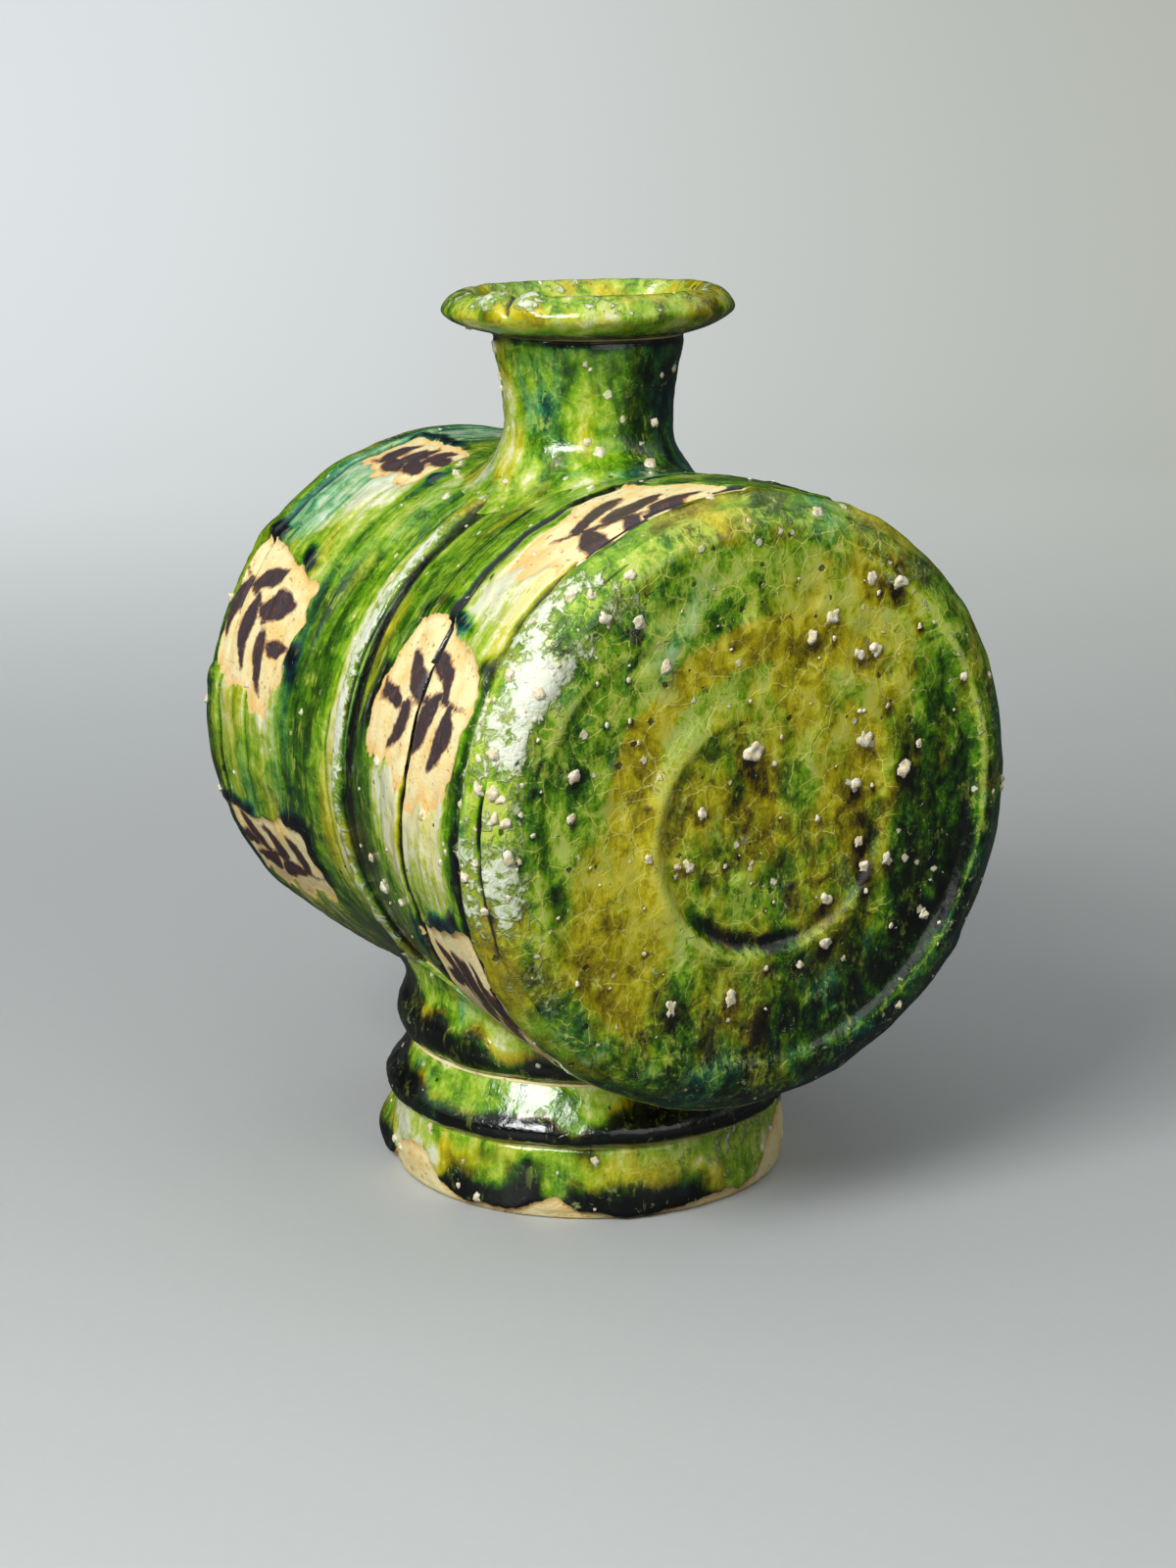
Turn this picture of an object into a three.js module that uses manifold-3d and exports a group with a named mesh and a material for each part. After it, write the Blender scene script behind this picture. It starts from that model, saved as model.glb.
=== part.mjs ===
// Drum flask: a glazed earthenware bottle with a drum lying on its side, a short neck with a
// rolled lip, and a stepped hollow foot. Each thrown piece is luted to its neighbour with slip.
// Millimetres, +Z up, origin at the centre of the foot's underside, drum axis along X.
import * as THREE from 'three';
import { mergeVertices } from 'three/addons/utils/BufferGeometryUtils.js';
import Module from 'manifold-3d';

const wasm = await Module();
wasm.setup();

// Clearance left for the slip at every luted joint
const JOINT_GAP = 0.3;

// Drum: two thrown halves, widest near the ends and drawn in at the girth
const GIRTH_RADIUS = 62;
const RIGHT_HALF_RADIUS = 66;
const RIGHT_HALF_LENGTH = 70.5;
const LEFT_HALF_RADIUS = 64.8;
const LEFT_HALF_LENGTH = 72.5;
const DRUM_WALL = 5.5;
const RIM_WIDTH = 4.2;
const RIM_ROLL_RADIUS = 4;
const INNER_CORNER_RADIUS = 3;
const RIGHT_GROOVES = [36, 61];
const LEFT_GROOVES = [47, 62];
const GROOVE_DEPTH = 0.8;
const GROOVE_HALF_WIDTH = 1.6;

// End discs, each let into a stepped seat inside the drum's rim and standing a little proud of it
const DISC_THICKNESS = 9.5;
const DISC_PROUD = 3.5;
const DISC_EDGE_ROUND = 4;
const DISC_LEDGE_WIDTH = 5;
const DISC_SEAT_DEPTH = 2.5;
const SPIRAL_PITCH = 23;
const SPIRAL_START_ANGLE = 2.56;
const SPIRAL_HEIGHT = 1.1;
const SPIRAL_HALF_WIDTH = 4.5;

// Coil of clay pressed into the notch between the halves
const COIL_NOTCH_DEPTH = 2.4;
const COIL_NOTCH_HALF_WIDTH = 2.6;
const COIL_CROWN = 1.2;

// Neck, flared at its root to a saddle that sits on the drum
const NECK_HEIGHT = 28.6;
const NECK_RADIUS = 18.8;
const NECK_TOP_RADIUS = 21.5;
const NECK_WALL = 4.8;
const NECK_NARROWEST = 9;
const NECK_FLARE_RADIUS = 30;
const NECK_FLARE_EDGE = 1.6;

// Rolled lip
const LIP_HEIGHT = 11.5;
const LIP_RADIUS = 32.4;
const LIP_OVERHANG_ROUND = 3.5;
const LIP_UNDERSIDE_RISE = 2;
const LIP_CROWN_FALL = 1.2;
const MOUTH_RADIUS = 25.4;

// Foot: collar under the drum, pedestal and foot ring, all open underneath
const FOOT_WALL = 7.5;
const FOOT_RING_HEIGHT = 16.5;
const FOOT_RING_RADIUS = 45.6;
const FOOT_EDGE_CHAMFER = 1;
const LOWER_JOINT_RADIUS = 44.4;
const PEDESTAL_HEIGHT = 13.5;
const PEDESTAL_RADIUS = 46;
const PEDESTAL_BEAD_HEIGHT = 4;
const UPPER_JOINT_RADIUS = 41.2;
const COLLAR_WEB = 1.8;
const COLLAR_BULGE_RADIUS = 43.4;
const COLLAR_BULGE_HEIGHT = 7;
const COLLAR_STEM_RADIUS = 41.6;
const COLLAR_STEM_HEIGHT = 14;

// Facets round a turn and along an outline, and the distance under which points are one
const WELD_DISTANCE = 1e-4;
const WALL_STEP = 11;
const DISC_RING_STEP = 4.4;
const DRUM_SEGMENTS = 44;
const NECK_SEGMENTS = 36;
const FOOT_SEGMENTS = 44;

// Heights worked out from the sizes above
const drumRadius = Math.max(RIGHT_HALF_RADIUS, LEFT_HALF_RADIUS);
const girthDrawIn = drumRadius - GIRTH_RADIUS;
const lowerJointHeight = FOOT_RING_HEIGHT;
const upperJointHeight = lowerJointHeight + PEDESTAL_HEIGHT;
const drumAxisHeight = upperJointHeight + COLLAR_WEB + drumRadius;
const neckRootHeight = drumAxisHeight + GIRTH_RADIUS;
const lipJointHeight = neckRootHeight + NECK_HEIGHT;
const mouthHeight = lipJointHeight + LIP_HEIGHT;
const neckBoreRadius = NECK_RADIUS - NECK_WALL;
const halfGap = JOINT_GAP / 2;

const glaze = { color: 0x4d6b25, roughness: 0.22, metalness: 0 };
const bareClay = { color: 0xc9b48a, roughness: 0.75, metalness: 0 };

// Turns an outline of [radius, height] points round the Z axis. An outline that does not start
// and end on the axis is closed on itself.
function turn(outline, segments) {
  const ring = outline.map(([radius, height]) => new THREE.Vector2(radius, height));
  if (ring[0].x > 0) ring.push(ring[0].clone());
  if (THREE.ShapeUtils.area(ring) < 0) ring.reverse();
  const geometry = new THREE.LatheGeometry(ring, segments);
  geometry.rotateX(Math.PI / 2);
  return weld(geometry);
}

// Keeps positions only and merges the points that meet
function weld(geometry) {
  geometry.deleteAttribute('normal');
  geometry.deleteAttribute('uv');
  return mergeVertices(geometry, WELD_DISTANCE);
}

// A smooth run of points through a few control points of [radius, height]
function curve(controls, steps) {
  const spline = new THREE.SplineCurve(controls.map(([r, h]) => new THREE.Vector2(r, h)));
  return spline.getPoints(steps).map((point) => [point.x, point.y]);
}

// A bend from one point to another that leaves both towards a third
function bend(start, towards, end, steps) {
  const corners = [start, towards, end].map(([r, h]) => new THREE.Vector2(r, h));
  const bezier = new THREE.QuadraticBezierCurve(...corners);
  return bezier.getPoints(steps).map((point) => [point.x, point.y]);
}

// Points round an ellipse about [radius, height], from one angle to another
function arc(centre, reachOut, reachUp, from, to, steps) {
  const ellipse = new THREE.EllipseCurve(...centre, reachOut, reachUp, from, to, to < from);
  return ellipse.getPoints(steps).map((point) => [point.x, point.y]);
}

function toSolid(geometry) {
  const vertProperties = new Float32Array(geometry.attributes.position.array);
  const triVerts = new Uint32Array(geometry.index.array);
  return new wasm.Manifold(new wasm.Mesh({ numProp: 3, vertProperties, triVerts }));
}

function toGeometry(solid) {
  const { vertProperties, triVerts } = solid.getMesh();
  const geometry = new THREE.BufferGeometry();
  geometry.setAttribute('position', new THREE.BufferAttribute(new Float32Array(vertProperties), 3));
  geometry.setIndex(new THREE.BufferAttribute(new Uint32Array(triVerts), 1));
  return geometry;
}

function cut(geometry, ...cutters) {
  return toGeometry(cutters.reduce((solid, cutter) => solid.subtract(toSolid(cutter)), toSolid(geometry)));
}

// Stands a turned piece on the drum's axis, its own axis pointing to +X or -X
function layOnDrumAxis(geometry, direction) {
  geometry.rotateY(direction * Math.PI / 2);
  geometry.translate(0, 0, drumAxisHeight);
  return geometry;
}

function mesh(name, geometry, finish) {
  geometry.computeVertexNormals();
  const piece = new THREE.Mesh(geometry, new THREE.MeshStandardMaterial(finish));
  piece.name = name;
  return piece;
}

// Outside radius of a drum half at a distance from the girth: drawn in at the girth, swelling to
// the rim, with the thrower's finger grooves turned into it
function wallRadius(distance, half) {
  const swell = THREE.MathUtils.smoothstep(distance, 0, half.length - RIM_ROLL_RADIUS);
  const grooves = half.grooves.map((place) => {
    const across = (distance - place) / GROOVE_HALF_WIDTH;
    return Math.max(0, 1 - across * across);
  });
  const drawnIn = (half.radius - GIRTH_RADIUS) * (1 - swell) ** 2;
  return half.radius - drawnIn - GROOVE_DEPTH * Math.max(...grooves);
}

// Outside of a drum half from the edge of the coil notch to the seat of its end disc
function outerOutline(half) {
  const rollStart = half.length - RIM_ROLL_RADIUS;
  const places = [COIL_NOTCH_HALF_WIDTH];
  for (let place = WALL_STEP; place < rollStart; place += WALL_STEP) places.push(place);
  for (const groove of half.grooves) {
    places.push(groove - GROOVE_HALF_WIDTH, groove, groove + GROOVE_HALF_WIDTH);
  }
  places.sort((a, b) => a - b);
  const wall = places.map((place) => [wallRadius(place, half), place]);
  const rollCentre = [half.radius - RIM_ROLL_RADIUS, rollStart];
  const roll = arc(rollCentre, RIM_ROLL_RADIUS, RIM_ROLL_RADIUS, 0, Math.PI / 2, 4);
  return [...wall, ...roll];
}

function drumHalf(half) {
  const seatRadius = half.radius - RIM_WIDTH;
  const seatFloor = half.length - DISC_SEAT_DEPTH - JOINT_GAP;
  const ledgeRadius = seatRadius - DISC_LEDGE_WIDTH;
  const innerEnd = half.length + DISC_PROUD - DISC_THICKNESS;
  const innerRadius = half.radius - DRUM_WALL;
  const cornerCentre = [innerRadius - INNER_CORNER_RADIUS, innerEnd - INNER_CORNER_RADIUS];
  const outline = [
    [GIRTH_RADIUS - COIL_NOTCH_DEPTH, halfGap],
    ...outerOutline(half),
    [seatRadius, half.length],
    [seatRadius, seatFloor],
    [ledgeRadius, seatFloor],
    [ledgeRadius, innerEnd],
    ...arc(cornerCentre, INNER_CORNER_RADIUS, INNER_CORNER_RADIUS, Math.PI / 2, 0, 3),
    [GIRTH_RADIUS - DRUM_WALL, halfGap],
  ];
  const blank = layOnDrumAxis(turn(outline, DRUM_SEGMENTS), half.direction);
  return cut(blank, neckHole());
}

// The hole under the neck, from the drum's axis up past its top
function neckHole() {
  return turn([
    [0, drumAxisHeight],
    [neckBoreRadius, drumAxisHeight],
    [neckBoreRadius, neckRootHeight + girthDrawIn],
    [0, neckRootHeight + girthDrawIn],
  ], NECK_SEGMENTS);
}

// Disc with a stepped back, a rounded edge and the raised spiral that the thrower's finger leaves
function endDisc(half) {
  const radius = half.radius - RIM_WIDTH - JOINT_GAP;
  const face = half.length + DISC_PROUD;
  const back = face - DISC_THICKNESS;
  const step = half.length - DISC_SEAT_DEPTH;
  const bossRadius = radius - DISC_LEDGE_WIDTH;
  const flatRadius = radius - DISC_EDGE_ROUND;
  const edgeCentre = [flatRadius, face - DISC_EDGE_ROUND];
  const edge = arc(edgeCentre, DISC_EDGE_ROUND, DISC_EDGE_ROUND, 0, Math.PI / 2, 3);
  const ringCount = Math.floor(flatRadius / DISC_RING_STEP);
  const rings = Array.from({ length: ringCount }, (_, i) => [flatRadius * (1 - (i + 1) / ringCount), face]);
  const outline = [
    [0, back],
    [bossRadius, back],
    [bossRadius, step],
    [radius, step],
    ...edge,
    ...rings,
  ];
  const geometry = turn(outline, DRUM_SEGMENTS);
  const position = geometry.attributes.position;
  for (let i = 0; i < position.count; i += 1) {
    const out = Math.hypot(position.getX(i), position.getY(i));
    const angle = Math.atan2(-position.getX(i), position.getY(i));
    if (position.getZ(i) > face - WELD_DISTANCE) {
      position.setZ(i, face + spiralRise(out, angle, flatRadius));
    }
  }
  return layOnDrumAxis(geometry, half.direction);
}

// Height of the finger spiral above the disc, fading out at the centre and at the edge
function spiralRise(radius, angle, edgeRadius) {
  const turns = (angle - SPIRAL_START_ANGLE) / (2 * Math.PI);
  const offset = THREE.MathUtils.euclideanModulo(radius / SPIRAL_PITCH - turns + 0.5, 1) - 0.5;
  const across = offset * SPIRAL_PITCH / SPIRAL_HALF_WIDTH;
  const ridge = Math.max(0, 1 - across * across) ** 2;
  const centreFade = THREE.MathUtils.smoothstep(radius, 0, SPIRAL_PITCH / 2);
  const edgeFade = 1 - THREE.MathUtils.smoothstep(radius, edgeRadius - SPIRAL_HALF_WIDTH, edgeRadius);
  return SPIRAL_HEIGHT * ridge * centreFade * edgeFade;
}

// Coil lying in the notch between the halves, with a rounded crown outside
function girthCoil() {
  const bevelGap = JOINT_GAP * Math.SQRT2;
  const halfWidth = COIL_NOTCH_HALF_WIDTH - bevelGap;
  const outline = [
    [GIRTH_RADIUS - COIL_NOTCH_DEPTH + bevelGap + halfGap, 0],
    ...arc([GIRTH_RADIUS, 0], COIL_CROWN, halfWidth, Math.PI / 2, -Math.PI / 2, 4),
  ];
  return cut(layOnDrumAxis(turn(outline, DRUM_SEGMENTS), 1), neckHole());
}

// The drum and its coil as one solid, larger by the joint gap, that shapes what sits on the drum
function drumEnvelope(right, left) {
  const coilTop = GIRTH_RADIUS + COIL_CROWN + JOINT_GAP;
  const side = (half) => [
    [coilTop, COIL_NOTCH_HALF_WIDTH],
    ...outerOutline(half).map(([radius, distance]) => [radius + JOINT_GAP, distance]),
    [0, half.length],
  ];
  const leftSide = side(left).map(([radius, distance]) => [radius, -distance]).reverse();
  return layOnDrumAxis(turn([...leftSide, ...side(right)], DRUM_SEGMENTS), right.direction);
}

// How far the drum's surface falls away at a distance from its top line
function drumFall(across) {
  return GIRTH_RADIUS - Math.sqrt(GIRTH_RADIUS ** 2 - across ** 2);
}

// Neck whose flared root drops with the drum's round side, so that its edge stays thin all round
function neck(envelope) {
  const top = lipJointHeight - halfGap;
  const narrowest = neckRootHeight + NECK_NARROWEST;
  const flareEdge = neckRootHeight + girthDrawIn / 2 + NECK_FLARE_EDGE;
  const below = neckRootHeight - girthDrawIn;
  const flare = bend(
    [NECK_FLARE_RADIUS, flareEdge],
    [NECK_RADIUS + NECK_FLARE_EDGE, flareEdge],
    [NECK_RADIUS, narrowest],
    6,
  );
  const shaft = bend(
    [NECK_RADIUS, narrowest],
    [NECK_RADIUS, (narrowest + top) / 2],
    [NECK_TOP_RADIUS, top],
    5,
  );
  const outline = [
    [NECK_FLARE_RADIUS, below],
    ...flare,
    ...shaft.slice(1),
    [NECK_TOP_RADIUS - NECK_WALL, top],
    [neckBoreRadius, narrowest],
    [neckBoreRadius, below],
  ];
  const geometry = turn(outline, NECK_SEGMENTS);
  const position = geometry.attributes.position;
  for (let i = 0; i < position.count; i += 1) {
    const seated = 1 - THREE.MathUtils.smoothstep(position.getZ(i), flareEdge, narrowest);
    position.setZ(i, position.getZ(i) - seated * drumFall(position.getY(i)));
  }
  return cut(geometry, envelope);
}

// Lip thrown as a roll: flat joint on the neck, round outside, funnel inside
function lipRing() {
  const base = lipJointHeight + halfGap;
  const crownRadius = MOUTH_RADIUS + LIP_CROWN_FALL * 2;
  const shoulder = mouthHeight - LIP_CROWN_FALL;
  const roll = curve([
    [NECK_TOP_RADIUS, base],
    [LIP_RADIUS - LIP_OVERHANG_ROUND, base + LIP_UNDERSIDE_RISE],
    [LIP_RADIUS, (base + mouthHeight) / 2],
    [crownRadius + LIP_CROWN_FALL * 2, shoulder],
    [crownRadius, mouthHeight],
    [MOUTH_RADIUS, shoulder],
    [NECK_TOP_RADIUS - NECK_WALL, base],
  ], 16);
  return turn(roll, NECK_SEGMENTS);
}

// Collar of the foot, its top cut to the drum's underside
function footCollar(envelope) {
  const base = upperJointHeight + halfGap;
  const underside = drumAxisHeight - GIRTH_RADIUS + drumFall(COLLAR_STEM_RADIUS);
  const reach = underside + girthDrawIn;
  const outline = [
    ...curve([
      [UPPER_JOINT_RADIUS, base],
      [COLLAR_BULGE_RADIUS, upperJointHeight + COLLAR_BULGE_HEIGHT],
      [COLLAR_STEM_RADIUS, upperJointHeight + COLLAR_STEM_HEIGHT],
    ], 7),
    [COLLAR_STEM_RADIUS, reach],
    [UPPER_JOINT_RADIUS - FOOT_WALL, reach],
    [UPPER_JOINT_RADIUS - FOOT_WALL, base],
  ];
  return cut(turn(outline, FOOT_SEGMENTS), envelope);
}

function pedestal() {
  const base = lowerJointHeight + halfGap;
  const top = upperJointHeight - halfGap;
  const outline = [
    ...curve([
      [LOWER_JOINT_RADIUS, base],
      [PEDESTAL_RADIUS, lowerJointHeight + PEDESTAL_BEAD_HEIGHT],
      [UPPER_JOINT_RADIUS, top],
    ], 7),
    [UPPER_JOINT_RADIUS - FOOT_WALL, top],
    [LOWER_JOINT_RADIUS - FOOT_WALL, base],
  ];
  return turn(outline, FOOT_SEGMENTS);
}

function footRing() {
  const top = lowerJointHeight - halfGap;
  const outline = [
    [FOOT_RING_RADIUS - FOOT_EDGE_CHAMFER, 0],
    ...curve([
      [FOOT_RING_RADIUS - FOOT_EDGE_CHAMFER / 2, FOOT_EDGE_CHAMFER],
      [FOOT_RING_RADIUS, FOOT_RING_HEIGHT / 2],
      [LOWER_JOINT_RADIUS, top],
    ], 5),
    [LOWER_JOINT_RADIUS - FOOT_WALL, top],
    [FOOT_RING_RADIUS - FOOT_WALL, FOOT_EDGE_CHAMFER],
    [FOOT_RING_RADIUS - FOOT_WALL + FOOT_EDGE_CHAMFER, 0],
  ];
  return turn(outline, FOOT_SEGMENTS);
}

const rightHalf = {
  radius: RIGHT_HALF_RADIUS, length: RIGHT_HALF_LENGTH, grooves: RIGHT_GROOVES, direction: 1,
};
const leftHalf = {
  radius: LEFT_HALF_RADIUS, length: LEFT_HALF_LENGTH, grooves: LEFT_GROOVES, direction: -1,
};
const envelope = drumEnvelope(rightHalf, leftHalf);

const flask = new THREE.Group();
flask.add(
  mesh('foot_ring', footRing(), bareClay),
  mesh('pedestal', pedestal(), glaze),
  mesh('foot_collar', footCollar(envelope), glaze),
  mesh('drum_half_right', drumHalf(rightHalf), glaze),
  mesh('drum_half_left', drumHalf(leftHalf), glaze),
  mesh('girth_coil', girthCoil(), glaze),
  mesh('end_disc_right', endDisc(rightHalf), glaze),
  mesh('end_disc_left', endDisc(leftHalf), glaze),
  mesh('neck', neck(envelope), glaze),
  mesh('lip_ring', lipRing(), glaze),
);

export default flask;
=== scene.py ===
# Drum flask in running green lead glaze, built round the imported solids. Metres, +Z up.
import math

import bmesh
import bpy
import numpy as np
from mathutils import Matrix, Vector


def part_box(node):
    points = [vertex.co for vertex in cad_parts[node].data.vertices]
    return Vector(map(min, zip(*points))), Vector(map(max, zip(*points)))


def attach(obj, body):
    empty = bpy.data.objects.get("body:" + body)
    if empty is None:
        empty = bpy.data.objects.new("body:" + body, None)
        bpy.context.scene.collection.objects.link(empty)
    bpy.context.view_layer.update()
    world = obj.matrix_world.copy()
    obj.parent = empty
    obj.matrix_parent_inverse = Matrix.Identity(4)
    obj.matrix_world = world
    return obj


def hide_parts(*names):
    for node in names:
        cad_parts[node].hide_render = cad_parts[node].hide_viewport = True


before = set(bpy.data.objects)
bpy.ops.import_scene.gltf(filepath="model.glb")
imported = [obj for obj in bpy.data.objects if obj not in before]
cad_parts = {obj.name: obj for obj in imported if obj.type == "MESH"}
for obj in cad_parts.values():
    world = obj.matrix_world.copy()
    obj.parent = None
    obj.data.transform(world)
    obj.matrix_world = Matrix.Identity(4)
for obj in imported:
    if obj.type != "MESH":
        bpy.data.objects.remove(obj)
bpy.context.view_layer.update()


# FOOT RING
# The lowest ring of the hollow foot, thrown in buff earthenware and left bare where it stands.
# Green lead glaze ran down over it in the kiln and stopped in thick, nearly black drips.

MM = 0.001
UPRIGHT = {"origin": (0, 0, 0), "axis": (0, 0, 1), "zero": (1, 0, 0), "side": (0, 1, 0)}
FOOT_WALL = 7.5
FOOT_TURNS = 384
FOOT_STEP = 0.7
FOOT_EDGE_ROUND = 1
FOOT_BELLY_HEIGHT = 8
FOOT_JOINT_INSET = 1.2
JOINT_LAP = 0.15
HIDDEN_STEP = 4
HIDDEN_UV_SHARE = 0.12
UV_MARGIN = 0.004
CURVE_SAMPLES = 24
# Large odd numbers that scatter neighbouring whole numbers, and the bits kept of each product
SCATTER = (374761393, 668265263, 1442695041, 974634777)
RESCATTER = 1274126177
KEPT_BITS = 0xFFFFFFFF
# Angle round the ring and the height at which the glaze stops there: low where a drip has run down
FOOT_GLAZE_EDGE = [
    (-165, 6), (-150, 3), (-135, 3), (-124, 1), (-116, 0.8), (-108, 2), (-98, 8), (-90, 10), (-82, 9),
    (-76, 4), (-66, 1.5), (-50, 1.6), (-44, 4), (-38, 5), (-32, 3), (-22, 1.2), (-2, 1.4), (8, 3.2),
    (18, 2), (28, 3), (36, 10), (47, 14), (60, 12), (75, 5), (90, 1.5), (112, 1.3), (128, 6), (150, 9),
    (165, 2),
]
HANGING_DRIP_ANGLE = -119
HANGING_DRIP_HALF_TURN = 10
HANGING_DRIP_HEIGHT = 7
HANGING_DRIP_HALF_LENGTH = 9
HANGING_DRIP_BULGE = 2.6
DRIP_FADE = 6.5
FOOT_DRY_ANGLE = 20
FOOT_DRY_HALF_TURN = 27


def box_mm(node):
    """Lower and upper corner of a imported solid's box, in millimetres."""
    low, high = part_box(node)
    return np.array(low) / MM, np.array(high) / MM


def lattice(i, j, k, seed):
    """A repeatable number from -1 to 1 for each whole-number place."""
    mixed = sum(part * factor for part, factor in zip((i, j, k, seed), SCATTER)) & KEPT_BITS
    mixed = ((mixed ^ (mixed >> 13)) * RESCATTER) & KEPT_BITS
    return ((mixed ^ (mixed >> 16)) & 0xFFFF) / 32767.5 - 1


def noise(x, y, z, seed):
    """Smooth noise from -1 to 1 with features about one unit wide."""
    places = [np.floor(part).astype(np.int64) for part in (x, y, z)]
    shares = [part - place for part, place in zip((x, y, z), places)]
    shares = [share * share * (3 - 2 * share) for share in shares]
    total = 0
    for corner in range(8):
        steps = [corner >> axis & 1 for axis in range(3)]
        weight = 1
        for step, share in zip(steps, shares):
            weight = weight * (share if step else 1 - share)
        total = total + weight * lattice(*[p + s for p, s in zip(places, steps)], seed)
    return total


def cloud(points, size, seed, octaves=3):
    """Layered noise over points in millimetres; size is the width of its largest features."""
    size = np.broadcast_to(np.array(size, float), 3)
    total = 0
    for octave in range(octaves):
        x, y, z = (points[..., axis] * 2 ** octave / size[axis] for axis in range(3))
        total = total + noise(x, y, z, seed + octave) / 2 ** octave
    return total


def smooth(low, high, value):
    """Smooth step of a value from 0 at low to 1 at high, of which either may be the larger."""
    share = np.clip((value - low) / (high - low), 0, 1)
    return share * share * (3 - 2 * share)


def swell(offset, half_width):
    """A rounded hump of height 1 that ends half_width away."""
    return np.clip(1 - (offset / half_width) ** 2, 0, None) ** 2


def turn_offset(degrees, centre):
    """Angle from a centre, taken the short way round."""
    return (degrees - centre + 180) % 360 - 180


def through(points, step):
    """Evenly spaced points along a smooth curve through a few control points."""
    points = np.array(points, float)
    padded = np.vstack([2 * points[0] - points[1], points, 2 * points[-1] - points[-2]])
    t = np.linspace(0, 1, CURVE_SAMPLES, endpoint=False)[:, None]
    runs = []
    for a, b, c, d in zip(padded, padded[1:], padded[2:], padded[3:]):
        runs.append(b + t * (c - a + t * (2 * a - 5 * b + 4 * c - d + t * (3 * b - a - 3 * c + d))) / 2)
    dense = np.vstack([*runs, points[-1:]])
    travel = np.append(0, np.cumsum(np.linalg.norm(np.diff(dense, axis=0), axis=1)))
    places = np.linspace(0, travel[-1], max(1, round(travel[-1] / step)) + 1)
    return np.stack([np.interp(places, travel, dense[:, axis]) for axis in range(2)], 1)


def chained(*runs):
    """Closed outline of runs of (control points, step, shown), each from the end of the run before it."""
    points, shown = [], []
    start = runs[-1][0][-1]
    for controls, step, shows in runs:
        run = through([start, *controls], step)[:-1]
        points.append(run)
        shown.append(np.full(len(run), shows))
        start = controls[-1]
    return np.vstack(points), np.concatenate(shown)


def turned(outline, turns, stance):
    """Grid of points and outward normals of a closed outline [radius, height] turned about an axis."""
    origin, axis, zero, side = (np.array(stance[key], float) for key in ("origin", "axis", "zero", "side"))
    degrees = np.linspace(-180, 180, turns, endpoint=False)
    angle = np.radians(degrees)[:, None]
    spoke = zero * np.cos(angle) + side * np.sin(angle)
    ahead = np.roll(outline, -1, 0)
    run = ahead - np.roll(outline, 1, 0)
    normal = np.stack([run[:, 1], -run[:, 0]], 1) / np.linalg.norm(run, axis=1)[:, None]
    if (outline[:, 0] * ahead[:, 1] - ahead[:, 0] * outline[:, 1]).sum() < 0:
        normal = -normal
    points = origin + axis * outline[:, 1, None, None] + spoke * outline[:, 0, None, None]
    normals = axis * normal[:, 1, None, None] + spoke * normal[:, 0, None, None]
    return points, normals, degrees


def ring_faces(rows, columns):
    """Quads of a grid that closes on itself both ways."""
    i, j = np.meshgrid(np.arange(rows), np.arange(columns), indexing="ij")
    below, beside = (i + 1) % rows, (j + 1) % columns
    corners = [i * columns + j, below * columns + j, below * columns + beside, i * columns + beside]
    return np.stack(corners, -1).reshape(-1, 4)


def ring_uvs(outline, shown, columns, strips=2):
    """Flat layout of a turned ring, cut into strips x strips equal turns, with hidden rows squeezed."""
    def inset(share):
        return UV_MARGIN + share * (1 - 2 * UV_MARGIN)
    length = np.linalg.norm(np.roll(outline, -1, 0) - outline, axis=1)
    length = length * np.where(shown, 1, HIDDEN_UV_SHARE)
    up = np.append(0, np.cumsum(length)) / length.sum()
    strip_columns = columns / strips ** 2
    j = np.arange(columns)
    strip = np.floor(j / strip_columns)
    along = (j - strip * strip_columns) / strip_columns
    wide = np.ones((len(outline), 1))
    left = wide * (strip % strips + inset(along)) / strips
    right = wide * (strip % strips + inset(along + 1 / strip_columns)) / strips
    low = (strip // strips + inset(up[:-1, None])) / strips
    high = (strip // strips + inset(up[1:, None])) / strips
    corners = [(left, low), (left, high), (right, high), (right, low)]
    return np.stack([np.stack(corner, -1) for corner in corners], 2).reshape(-1, 4, 2)


# What each point of a glazed piece carries: glaze depth from -1 thin to 1 pooled, amber and teal tints, milky
# flecks and white crust from 0 to 1, and how far inside bare clay and inside a brush stroke it lies, in mm
GLAZE_FIELDS = {"pool": 0, "amber": 0, "teal": 0, "milk": 0, "crust": 0, "clay": -9, "brush": -9}
GLAZED_OVER = -4
LEFT_BARE = 5


def place_object(name, data):
    """A new object that holds a mesh, a camera or a light, put into the scene."""
    placed = bpy.data.objects.new(name, data)
    bpy.context.scene.collection.objects.link(placed)
    return placed


def finish_mesh(mesh, material):
    """Smooths a mesh, gives it its material and puts it into the scene under its own name."""
    mesh.shade_smooth()
    mesh.materials.append(material)
    return place_object(mesh.name, mesh)


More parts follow.
